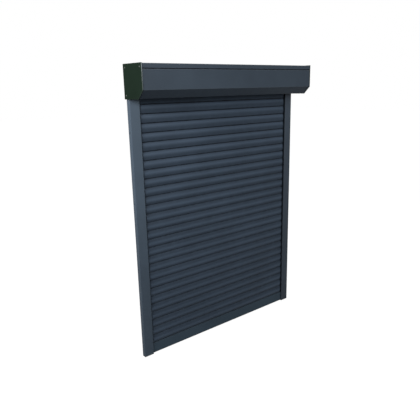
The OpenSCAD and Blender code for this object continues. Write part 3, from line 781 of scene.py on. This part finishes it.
finish_nodes(plated_steel("dull_zinc", dull_dark, dull_light), "cap_rivets")


# Winding tube and its plugs
# The curtain winds on an octagonal tube of galvanised sheet steel. A grey moulded plug with a steel
# spindle turns in a bush at each end, and the right-hand plug is grooved as the pulley of the drive.

spangle_dark = (0.34, 0.36, 0.38, 1)
spangle_light = (0.55, 0.57, 0.59, 1)
zinc_dark = (0.42, 0.43, 0.45, 1)
zinc_light = (0.62, 0.63, 0.64, 1)
grey_plastic = (0.25, 0.26, 0.27, 1)
crystal_share = 0.6
haze_share = 0.4


def galvanised_steel():
    """Hot-dip zinc: flat crystals that each reflect a little differently."""
    material, tree, shader = new_material("galvanised", {"Metallic": 0.85})
    here = object_place(tree)
    crystal = place(tree, "ShaderNodeTexVoronoi", {"Vector": here, "Scale": 130}).outputs["Color"]
    shade = place(tree, "ShaderNodeSeparateColor", {0: crystal}).outputs[0]
    haze = speckle(tree, here, scale=30, detail=5)
    factor = calc(tree, "ADD", calc(tree, "MULTIPLY", shade, crystal_share),
                  calc(tree, "MULTIPLY", haze, haze_share))
    base = mixed(tree, factor, spangle_dark, spangle_light)
    rough = remap(tree, factor, (0.2, 0.8), (0.52, 0.34))
    surface(tree, shader, base, rough, shade, strength=0.08)
    return material


galvanised = galvanised_steel()
bright_steel = plated_steel("bright_steel", zinc_dark, zinc_light)
moulded_grey = moulded("moulded_grey", grey_plastic, dust=0.2)
finish_nodes(galvanised, "winding_tube")
finish_nodes(moulded_grey, "idler_cap", "strap_pulley", "bearing_left", "bearing_right")
finish_nodes(bright_steel, "idler_spindle", "pulley_axle", "hanger_rivets")


# Box sheets
# The box is folded from powder-coated aluminium sheet. The fixed shell is the rear wall, the top and the
# strip above the seam; below the seam the inspection cover makes the front, the slope and the underside,
# with a joggled tongue behind the strip and a stiffening lip along its rear edge.

shell_low, shell_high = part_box("box_top_shell")
cover_low, cover_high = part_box("front_cover")
shell_t = 0.0012
sheet_half = shell_high.y
bend_r = 0.0022
cut_edge_r = 0.0002
cut_edge_turn = math.radians(60)
strip_h = 0.018
seam_z = sheet_half - strip_h
seam_gap = 0.003
tongue_h = 0.010
tongue_clear = 0.00025
tongue_back = shell_t + tongue_clear
joggle_z = seam_z - seam_gap
cover_lip = 0.008
cover_edge = cover_high.y
slope_z = inset_cut(box_half - sheet_half) - sheet_half
cover_points = [
    (tongue_back - sheet_half, seam_z + tongue_h),
    (tongue_back - sheet_half, joggle_z),
    (-sheet_half, joggle_z - tongue_back),
    (-sheet_half, slope_z),
    (slope_z, -sheet_half),
    (cover_edge, -sheet_half),
    (cover_edge, cover_lip - sheet_half),
]
shell_points = [
    (sheet_half, -sheet_half),
    (sheet_half, sheet_half),
    (-sheet_half, sheet_half),
    (-sheet_half, seam_z),
]
slot_low, slot_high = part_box("strap_outlet")
outlet_flange = 0.003
outlet_fit = 0.0002
hole_step = Vector((outlet_flange - outlet_fit, -far, outlet_flange - outlet_fit))
hole_low = slot_low + hole_step
hole_high = slot_high - hole_step
# Painted shade on the slope and the underside of the cover.
slope_shade = 0.30
anthracite_box = (0.046, 0.061, 0.080, 1)


def folded_sheet(points, low_x, high_x):
    """Sheet along X whose outer face follows points about the tube axis, with rounded folds."""
    bm = bmesh.new()
    verts = [bm.verts.new(tube_axis + Vector((low_x, y, z))) for y, z in points]
    edges = [bm.edges.new(pair) for pair in zip(verts, verts[1:])]
    grown = bmesh.ops.extrude_edge_only(bm, edges=edges)["geom"]
    bmesh.ops.translate(bm, verts=verts_in(grown), vec=(high_x - low_x, 0, 0))
    bm.normal_update()
    for edge in [edge for edge in bm.edges if len(edge.link_faces) == 2]:
        turn = edge.calc_face_angle()
        round_edges(bm, [edge], bend_r * math.tan(turn / 2), segments=5)
    return bm


def sheet_piece(name, bm, body, node):
    """Gives a folded sheet its thickness, to the inside, and breaks its cut edges."""
    piece = new_piece(name, bm, box_coat, body, "box_coat", node, sharp=40)
    wall = piece.modifiers.new("sheet", "SOLIDIFY")
    wall.thickness = shell_t
    wall.offset = -1
    wall.use_even_offset = True
    broken = piece.modifiers.new("broken_edges", "BEVEL")
    broken.width = cut_edge_r
    broken.segments = 2
    broken.limit_method = "ANGLE"
    broken.angle_limit = cut_edge_turn
    piece.modifiers.move(0, len(piece.modifiers) - 1)


def cover_shade(co):
    """Painted shade: dark in the seam, and darker on the slope and the underside, which face down."""
    if co.z - tube_axis.z > joggle_z - 2 * tongue_back:
        return (co.y + sheet_half) / tongue_back
    return slope_shade if co.z - tube_axis.z < slope_z - hair else 0


box_coat = painted("box_coat", anthracite_box, gloss=0.42, dust=0.16, grime=1.1)
bm = folded_sheet(shell_points, shell_low.x, shell_high.x)
for corner in (hole_low, hole_high):
    for across in ((1, 0, 0), (0, 0, 1)):
        rear = [face for face in bm.faces if face.calc_center_median().y > sheet_half - shell_t]
        cut(bm, rear, corner, across)
drop_within(bm, hole_low, hole_high)
sheet_piece("box_shell", bm, "frame", "box_top_shell")

bm = folded_sheet(cover_points, cover_low.x, cover_high.x)
mark_dirt_and_shade(bm, cover_shade)
sheet_piece("inspection_cover", bm, "cover", "front_cover")


# Cover screws
# One screw at each end of the underside holds the cover to the rim of the end plate. It is zinc plated,
# with a low round head and a cross recess.

screw_low, screw_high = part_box("cover_screws")
screw_y = (screw_low.y + screw_high.y) / 2
head_r = 0.0035
head_h = 0.002
head_edge_r = 0.0011
recess_arm = 0.0019
recess_half = 0.00035
recess_depth = 0.0012


def screw_mesh(x):
    """Head that hangs below the sheet, with the recess cut up into it."""
    bm = bmesh.new()
    bmesh.ops.create_circle(bm, cap_ends=True, segments=32, radius=head_r)
    lines = [-recess_arm, -recess_half, recess_half, recess_arm]
    cut_lines(bm, lines, lines)
    raise_faces(bm, bm.faces, (0, 0, -head_h))
    round_edges(bm, sharp_edges(bm, -far, -head_h / 2), head_edge_r, segments=4)
    cross = set()
    for wide, deep in ((recess_arm, recess_half), (recess_half, recess_arm)):
        cross.update(faces_within(bm, (-wide, -deep, -far), (wide, deep, -head_h / 2)))
    raise_faces(bm, cross, (0, 0, recess_depth))
    move(bm, (x, screw_y, screw_low.z + head_h))
    return bm


bm = screw_mesh(screw_high.x - head_r)
merge_in(bm, screw_mesh(head_r - screw_high.x))
new_piece("cover_screw_heads", bm, bright_steel, "cover", "bright_steel", "cover_screws")


# Strap outlet
# A black moulded bush lines a slot in the rear wall of the box. Its flange sits on the sheet and its
# mouth is rounded.

bush_wall = 0.002
flange_t = slot_high.y - sheet_half
flange_corner_r = 0.002
bush_depth = sheet_half - slot_low.y
mouth_r = 0.0009
slot_w = slot_high.x - slot_low.x
slot_h = slot_high.z - slot_low.z
bush_out = outlet_flange
bush_in = outlet_flange + bush_wall
bm = cut_rectangle(slot_w, slot_h, flange_corner_r, both_sides(slot_w, bush_out, bush_in),
                   both_sides(slot_h, bush_out, bush_in))
drop_within(bm, (bush_in, bush_in, -far), (slot_w - bush_in, slot_h - bush_in, far))
raise_faces(bm, bm.faces, (0, 0, flange_t))
sleeve = faces_within(bm, (bush_out, bush_out, -hair), (slot_w - bush_out, slot_h - bush_out, hair))
raise_faces(bm, sleeve, (0, 0, -bush_depth))
face_outward(bm)
round_edges(bm, sharp_edges(bm, flange_t - hair, far), mouth_r, segments=4)
turned = Matrix.Rotation(-math.pi / 2, 4, "X")
on_wall = Matrix.Translation((slot_low.x, sheet_half, slot_high.z))
bmesh.ops.transform(bm, matrix=on_wall @ turned, verts=bm.verts)
new_piece("strap_bush", bm, moulded_dark, "frame", "moulded_dark", "strap_outlet")


# Slats
# Each slat is a hollow lacquered aluminium profile with a crowned face. Its upper edge is a hook that
# hangs in the channel along the lower edge of the next slat, so the curtain bends at every joint.
# The slats gather as the curtain is raised.

slat_low, slat_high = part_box("slat_01")
slat_count = len([name for name in nodes if name.startswith("slat_")])
curtain_y = (rail_low.y + rail_high.y) / 2
slat_pitch = 0.039
slat_core = 0.0066
slat_crown = 2 * slat_half - slat_core
slat_wall = 0.0009
slat_gap = 0.0007
bead_rise = 0.00015
bead_r = slat_core / 2
bead_y = slat_crown / 2
shoulder_z = slat_pitch - slat_gap - bead_r
skin_half = bead_r - bead_rise
chord = (shoulder_z - bead_r) / 2
crown_r = (chord ** 2 + slat_crown ** 2) / (2 * slat_crown)
crown_y = bead_y - slat_crown + crown_r
crown_z = (shoulder_z + bead_r) / 2
hook_t = 0.0011
hook_r = 0.00165
hook_tip = 0.0009
hook_gap = 0.0004
hook_play = 0.003
channel_lip = 0.0012
channel_r = 0.0006
channel_w = 2 * hook_r + 2 * hook_gap
channel_shift = 0.0003
channel_y = bead_y - channel_shift - channel_w / 2
hook_y = channel_y + hook_gap + hook_r
hook_z = channel_lip + hook_play + hook_tip
channel_top = hook_z + hook_r + hook_gap
neck_y = hook_y + hook_r - hook_t
neck_gap = 0.0006
slot_y = neck_y - neck_gap
# Painted shade: dark joints (also dirt), a film lightest along one line, dark ends at the rails.
joint_dark_reach = 0.0018
face_shade_amount = (0.59, 0.50)
face_shade_reach = 0.30
lit_line_height = (0.42, 0.70)
lit_line_half = 0.02
joint_dark_limit = (0.70, 1.0)
shade_span = (0.40, 0.92)
side_shade_w = 0.008
side_shade_amount = 0.85
line_relief = 0.8
tone_spread = 0.05
tone_change = 1.37
finest_turn = math.radians(10)
longest_step = 0.0022
anthracite_slat = (0.060, 0.084, 0.119, 1)
hook_lines = {soft["node"]: soft["fixed_end_z_m"]
              for joint in frame["joints"] for soft in joint.get("deforming_nodes", [])}


def trace(bm, start, moves):
    """Draws a closed wire in the YZ plane: a move is a point to go straight to, or an arc given as its
    centre, its end and the way it turns, 1 from Y towards Z."""
    pen = bmesh.ops.create_vert(bm, co=(0, *start))["vert"][0]
    drawn = [pen]
    for step in moves:
        if len(step) == 2:
            pen = bmesh.ops.extrude_vert_indiv(bm, verts=[pen])["verts"][0]
            pen.co = (0, *step)
            drawn.append(pen)
            continue
        centre, end, way = step
        first = math.atan2(pen.co.z - centre[1], pen.co.y - centre[0])
        turn = math.atan2(end[1] - centre[1], end[0] - centre[0]) - first
        turn = way * ((way * turn) % (2 * math.pi))
        radius = math.hypot(end[0] - centre[0], end[1] - centre[1])
        steps = max(2, math.ceil(abs(turn) / finest_turn), math.ceil(abs(turn) * radius / longest_step))
        before = set(bm.verts)
        last = bmesh.ops.spin(bm, geom=[pen], cent=(0, *centre), axis=(1, 0, 0), angle=turn, steps=steps)
        pen = verts_in(last["geom_last"])[0]
        drawn += [vert for vert in bm.verts if vert not in before]
    bmesh.ops.remove_doubles(bm, verts=drawn, dist=same_place)


def draw_out(bm, low_x, high_x, z):
    """Fills the wires of a section and draws it out along X, at its height in the curtain."""
    bmesh.ops.triangle_fill(bm, edges=bm.edges[:], use_beauty=True, normal=(1, 0, 0))
    raise_faces(bm, bm.faces, (high_x - low_x, 0, 0))
    move(bm, (low_x, curtain_y, z))


def crown_point(radius, tilt):
    return (crown_y - radius * math.cos(tilt), crown_z + radius * math.sin(tilt))


def on_bead(y, z, up):
    """Height at which the bead at height z has the depth y, above or below its middle."""
    return z + up * math.sqrt(bead_r ** 2 - (y - bead_y) ** 2)


def hook_moves(z):
    """From the front of the neck, over the curl to the tip, and back to the rear of the neck."""
    level = z + hook_z
    inner = hook_r - hook_t
    return [
        (neck_y, level),
        ((hook_y, level), (hook_y - inner, level), 1),
        (hook_y - inner, level - hook_tip),
        (hook_y - hook_r, level - hook_tip),
        (hook_y - hook_r, level),
        ((hook_y, level), (hook_y + hook_r, level), -1),
    ]


def skin_ends(radius):
    """Where a skin of the crown leaves the lower bead and meets the upper one."""
    half_angle = math.asin(chord / crown_r)
    off = math.acos((crown_r ** 2 + radius ** 2 - bead_r ** 2) / (2 * crown_r * radius))
    return crown_point(radius, off - half_angle), crown_point(radius, half_angle - off)


def slat_section():
    """Outline of the profile and of its hollow."""
    bm = bmesh.new()
    low_bead, high_bead = (bead_y, bead_r), (bead_y, shoulder_z)
    crown = (crown_y, crown_z)
    front_low, front_high = skin_ends(crown_r + skin_half)
    rear_low, rear_high = skin_ends(crown_r - skin_half)
    slot_foot = (slot_y, on_bead(slot_y, bead_r, -1))
    right = channel_y + channel_w
    neck_back = neck_y + hook_t
    moves = [
        (low_bead, front_low, -1),
        (crown, front_high, -1),
        (high_bead, (neck_y, on_bead(neck_y, shoulder_z, 1)), -1),
        *hook_moves(slat_pitch),
        (neck_back, on_bead(neck_back, shoulder_z, 1)),
        (high_bead, rear_high, -1),
        (crown, rear_low, 1),
        (low_bead, (right, on_bead(right, bead_r, -1)), -1),
        (right, channel_top - channel_r),
        ((right - channel_r, channel_top - channel_r), (right - channel_r, channel_top), 1),
        (channel_y + channel_r, channel_top),
        ((channel_y + channel_r, channel_top - channel_r), (channel_y, channel_top - channel_r), 1),
        (channel_y, channel_lip + channel_r),
        ((channel_y + channel_r, channel_lip + channel_r), (channel_y + channel_r, channel_lip), 1),
        (slot_y, channel_lip),
        slot_foot,
    ]
    trace(bm, slot_foot, moves)
    inner = skin_half - slat_wall
    low_tilt = math.asin((channel_top + 2 * slat_wall - crown_z) / crown_r)
    high_tilt = math.asin((shoulder_z - slat_wall - crown_z) / crown_r)
    start = crown_point(crown_r + inner, low_tilt)
    trace(bm, start, [
        (crown, crown_point(crown_r + inner, high_tilt), -1),
        crown_point(crown_r - inner, high_tilt),
        (crown, crown_point(crown_r - inner, low_tilt), 1),
        start,
    ])
    return bm


def lacquer():
    """Baked lacquer: the coat and its lines, dust, and dirt and painted shade, also beside the rails."""
    material, tree, shader = new_material("slat_coat", {"IOR": 1.12})
    here = object_place(tree)
    coat = effect(tree, baked_coat, Colour=anthracite_slat, Drift=0.08, Gloss=0.40)
    dusty = effect(tree, settled_dust, Amount=0.10)["Mask"]
    dirt_and_shade_mask = effect(tree, joint_grime, Amount=0.9)["Mask"]
    tone = place(tree, "ShaderNodeAttribute", attribute_name="tone").outputs["Fac"]
    across = place(tree, "ShaderNodeSeparateXYZ", {0: here}).outputs["X"]
    # Painted shade on the slat ends beside the rails.
    side_shade_span = (rail_low.x - side_shade_w, rail_low.x - side_shade_w / 2)
    side_shade = remap(tree, calc(tree, "ABSOLUTE", across, 0), side_shade_span, (0, side_shade_amount))
    base = mixed(tree, dusty, shaded(tree, coat["Colour"], tone), dust_colour)
    base = mixed(tree, calc(tree, "MAXIMUM", dirt_and_shade_mask, side_shade), base, dirt_and_shade_colour)
    lines = long_noise(tree, here, scale=(2.5, 400, 1300), detail=3)
    rough = calc(tree, "ADD", coat["Roughness"], remap(tree, lines, noise_span, (-0.04, 0.04)))
    height = calc(tree, "ADD", coat["Height"], calc(tree, "MULTIPLY", lines, line_relief))
    surface(tree, shader, base, rough, height, strength=0.06)
    return material


def slat_shade_at(level):
    """Painted shade film, its lit line and the joints' limit, at a slat's share of the curtain's height.
    """
    low, high = shade_span
    share = min(1, max(0, (level - low) / (high - low)))
    share = share ** 2 * (3 - 2 * share)
    return [lower + (upper - lower) * share for lower, upper in (face_shade_amount, lit_line_height, joint_dark_limit)]


def slat_dirt_and_shade(z, face_shade, lit_line, joint_limit):
    """Dirt and painted shade in the joints, and painted shade across the face, lightest at a line."""
    joint = max(bead_r - z, z - shoulder_z) / joint_dark_reach
    away = min(1, (abs(z / slat_pitch - lit_line) - lit_line_half) / face_shade_reach)
    return max(min(joint, joint_limit), face_shade * away)


def gather(piece):
    """Gives a piece a mesh of its own."""
    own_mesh(piece)


slat_coat = lacquer()
for i in range(1, slat_count + 1):
    number = f"{i:02d}"
    node = "slat_" + number
    line = hook_lines[node]
    bm = slat_section()
    draw_out(bm, slat_low.x, slat_high.x, line)
    tone = bm.faces.layers.float.new("tone")
    shade = 1 + tone_spread * noise.noise((0, 0, i * tone_change))
    for face in bm.faces:
        face[tone] = shade
    slat_shading = slat_shade_at(i / slat_count)
    mark_dirt_and_shade(bm, lambda co: slat_dirt_and_shade(co.z - line, *slat_shading))
    piece = new_piece("curtain_" + node, bm, slat_coat, "curtain_" + number, "slat_coat", node, sharp=16)
    gather(piece)


# Bottom bar
# The last piece of the curtain is a heavier hollow extrusion, powder coated a shade darker, with a T-slot
# for the rubber seal along its underside. The hook strip along its top hangs in the first slat and is
# a mesh of its own.

bar_low, bar_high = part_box("bottom_bar")
bar_z = bar_low.z
bar_h = hook_lines["slat_01"] - bar_z
bar_top = bar_h - slat_gap
bar_half = slat_half
bar_wall = 0.0014
bar_corner_r = 0.0006
bar_shoulder = bar_top - bead_r
shoulder_y = bar_half - bead_r
seal_slot_half = 0.0025
seal_mouth_half = 0.0016
seal_slot_h = 0.0024
anthracite_bar = (0.043, 0.064, 0.086, 1)


def mirrored(start, moves):
    """Closes the outline of one half with the way back along its mirror image."""
    ends = [start, *(step if len(step) == 2 else step[1] for step in moves)]
    back = [(-ends[-1][0], ends[-1][1])]
    for step, (y, z) in zip(moves[::-1], ends[-2::-1]):
        back.append((-y, z) if len(step) == 2 else ((-step[0][0], step[0][1]), (-y, z), step[2]))
    return [*moves, *back, start]


def bar_section():
    """Outline of the bar, with its T-slot, and of its hollow."""
    bm = bmesh.new()
    slot_top = bar_wall + seal_slot_h
    corner = bar_corner_r
    start = (shoulder_y, bar_top)
    half = [
        ((shoulder_y, bar_shoulder), (bar_half, bar_shoulder), -1),
        (bar_half, corner),
        ((bar_half - corner, corner), (bar_half - corner, 0), -1),
        (seal_mouth_half, 0),
        (seal_mouth_half, bar_wall),
        (seal_slot_half, bar_wall),
        (seal_slot_half, slot_top),
    ]
    trace(bm, start, mirrored(start, half))
    inner = bar_half - bar_wall
    low = slot_top + bar_wall
    trace(bm, (-inner, low), [(-inner, bar_shoulder), (inner, bar_shoulder), (inner, low), (-inner, low)])
    return bm


def hook_section():
    """The hook of the bar down to its foot on the rounded rear shoulder."""
    bm = bmesh.new()
    front_foot, rear_foot = ((y, bar_shoulder + math.sqrt(bead_r ** 2 - (y - shoulder_y) ** 2))
                             for y in (neck_y, neck_y + hook_t))
    trace(bm, front_foot, [*hook_moves(bar_h), rear_foot, ((shoulder_y, bar_shoulder), front_foot, 1)])
    return bm


bar_coat = painted("bar_coat", anthracite_bar, gloss=0.42, dust=0.10, grime=0.5)
bar_pieces = [("end_bar", bar_section(), ["bottom_bar"]), ("end_bar_hook", hook_section(), [])]
for name, bm, stands_for in bar_pieces:
    draw_out(bm, bar_low.x, bar_high.x, bar_z)
    # Dirt and painted shade in the joint above the bar's shoulder.
    mark_dirt_and_shade(bm, lambda co: (co.z - bar_z - bar_shoulder) / joint_dark_reach)
    piece = new_piece(name, bm, bar_coat, "bar", "bar_coat", *stands_for)
gather(piece)
finish_nodes(moulded_dark, "bar_end_plugs")


# Bottom seal
# A black rubber strip is slid into the T-slot of the bottom bar. Its broad lip bears on the underside
# of the bar and meets the sill with a rounded toe.

seal_low, seal_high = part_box("bottom_seal")
seal_half = (seal_high.y - seal_low.y) / 2
seal_gap = 0.0002
stem_half = seal_mouth_half - seal_gap
seal_foot_low = bar_wall + seal_gap
seal_foot_high = seal_high.z - bar_z
seal_foot_half = seal_slot_half - seal_gap
seal_top_r = 0.0004
seal_toe_r = 0.0013
rubber_black = (0.013, 0.013, 0.014, 1)
bloom_grey = (0.035, 0.035, 0.036, 1)


def rubber_material():
    """Extruded rubber: faint lines along the strip and a chalky bloom."""
    material, tree, shader = new_material("seal_rubber", {"Specular IOR Level": 0.25})
    here = object_place(tree)
    lines = long_noise(tree, here, scale=(6, 2500, 2500), detail=2)
    bloom = remap(tree, speckle(tree, here, scale=60, detail=5), (0.45, 0.8), (0, 0.5))
    base = mixed(tree, bloom, rubber_black, bloom_grey)
    rough = remap(tree, lines, (0, 1), (0.6, 0.8))
    surface(tree, shader, base, rough, lines, strength=0.15)
    return material


def seal_section():
    """Outline of the strip: its foot in the slot, the stem and the broad lip."""
    bm = bmesh.new()
    under = -seal_gap
    low = seal_low.z - bar_z
    top_y, top_z = seal_half - seal_top_r, under - seal_top_r
    toe_y, toe_z = seal_half - seal_toe_r, low + seal_toe_r
    start = (seal_foot_half, seal_foot_high)
    half = [
        (seal_foot_half, seal_foot_low),
        (stem_half, seal_foot_low),
        (stem_half, under),
        (top_y, under),
        ((top_y, top_z), (seal_half, top_z), -1),
        (seal_half, toe_z),
        ((toe_y, toe_z), (toe_y, low), -1),
    ]
    trace(bm, start, mirrored(start, half))
    return bm


bm = seal_section()
draw_out(bm, seal_low.x, seal_high.x, bar_z)
new_piece("bar_seal", bm, rubber_material(), "bar", "seal_rubber", "bottom_seal")


# Hangers
# Three strips of galvanised spring steel are riveted to a flat of the tube and end in a shoe that takes
# the hook of the top slat. They wrap round the tube as it turns.

bm = bmesh.new()
bm.from_mesh(nodes["curtain_hangers"].data)
bmesh.ops.remove_doubles(bm, verts=bm.verts, dist=hair)
strips = new_piece("hanger_strips", bm, galvanised, "roller", "galvanised", "curtain_hangers")
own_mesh(strips)


# Studio
# The shutter stands on a plain white sweep. A large softbox high at the left is the main light, one in
# front and one behind fill the shadows, and a low bluish ambient lights the rest.

floor_white = (0.10, 0.10, 0.10, 1)
floor_dull = (0.03, 0.03, 0.03, 1)
floor_glow = 0.95
floor_size = 40
floor_drop = 0.0005
sweep_reach = (0.9, 2.0)
pure_white = (1, 1, 1, 1)
ambient_blue = (0.86, 0.93, 1.0, 1)
ambient_strength = 0.15


def seen_rays(tree):
    """1 where a ray shows the studio itself, 0 where the studio only lights the shutter."""
    rays = place(tree, "ShaderNodeLightPath").outputs
    return calc(tree, "MAXIMUM", rays["Is Camera Ray"], rays["Is Glossy Ray"],
                rays["Is Transmission Ray"])


def show(tree, output, lighting, shown):
    """Sends an output one shader for the light on the shutter and one for what is seen."""
    ways = {0: seen_rays(tree), 1: lighting.outputs[0], 2: shown.outputs[0]}
    both = place(tree, "ShaderNodeMixShader", ways)
    tree.links.new(both.outputs[0], tree.nodes[output].inputs["Surface"])


def studio_floor():
    """White to the eye, brighter away from the shutter, and dull in the light that it throws back."""
    material, tree, shader = new_material("studio_floor", {})
    tree.nodes.remove(shader)
    away = place(tree, "ShaderNodeVectorMath", {0: object_place(tree)}, operation="LENGTH")
    level = remap(tree, away.outputs["Value"], sweep_reach, (floor_glow, 1))
    lit = place(tree, "ShaderNodeBsdfDiffuse", {"Color": floor_white})
    glow = place(tree, "ShaderNodeEmission", {"Color": pure_white, "Strength": level})
    white = place(tree, "ShaderNodeAddShader", {0: glow.outputs[0], 1: lit.outputs[0]})
    dull = place(tree, "ShaderNodeBsdfDiffuse", {"Color": floor_dull})
    show(tree, "Material Output", dull, white)
    return material


bm = bmesh.new()
bmesh.ops.create_grid(bm, x_segments=1, y_segments=1, size=floor_size / 2)
move(bm, (0, 0, cad_low.z - floor_drop))
floor_mesh = bpy.data.meshes.new("studio_floor")
bm.to_mesh(floor_mesh)
bm.free()
floor_mesh.materials.append(studio_floor())
floor = bpy.data.objects.new("studio_floor", floor_mesh)
bpy.context.scene.collection.objects.link(floor)

world = bpy.data.worlds.new("studio_white")
world.use_nodes = True
bpy.context.scene.world = world
tree = world.node_tree
ambient = place(tree, "ShaderNodeBackground", {"Color": ambient_blue, "Strength": ambient_strength})
white = place(tree, "ShaderNodeBackground", {"Color": pure_white, "Strength": 1})
show(tree, "World Output", ambient, white)

light_aim = Vector((0, 0, 0.75))


def soft_light(name, spot, size, watts):
    data = bpy.data.lights.new(name, "AREA")
    data.shape = "RECTANGLE"
    data.size, data.size_y = size
    data.energy = watts
    lamp = bpy.data.objects.new(name, data)
    lamp.location = spot
    lamp.rotation_euler = (light_aim - Vector(spot)).to_track_quat("-Z", "Y").to_euler()
    bpy.context.scene.collection.objects.link(lamp)


soft_light("key_softbox", spot=(-2.05, -0.79, 1.73), size=(1.4, 0.9), watts=58)
soft_light("front_fill", spot=(0.4, -2.25, 1.55), size=(0.9, 0.9), watts=23)
soft_light("rear_fill", spot=(1.2, 1.9, 1.9), size=(1.4, 1.0), watts=40)

camera_at = Vector((-1.5539, -1.7166, 1.2026))
camera_yaw = 0.6943
camera_pitch = -0.2714
camera_roll = -0.0218
image_px = 420
focal_px = 489.893
centre_px = (209.632, 224.346)
sensor_mm = 36

camera = bpy.data.cameras.new("photo_camera")
camera.sensor_width = sensor_mm
camera.lens = focal_px / image_px * sensor_mm
camera.shift_x = (image_px / 2 - centre_px[0]) / image_px
camera.shift_y = (centre_px[1] - image_px / 2) / image_px
viewer = bpy.data.objects.new("photo_camera", camera)
viewer.matrix_world = (
    Matrix.Translation(camera_at) @ Matrix.Rotation(-camera_yaw, 4, "Z")
    @ Matrix.Rotation(math.pi / 2 + camera_pitch, 4, "X") @ Matrix.Rotation(camera_roll, 4, "Z"))
bpy.context.scene.collection.objects.link(viewer)
bpy.context.scene.camera = viewer
bpy.context.scene.view_settings.view_transform = "Standard"
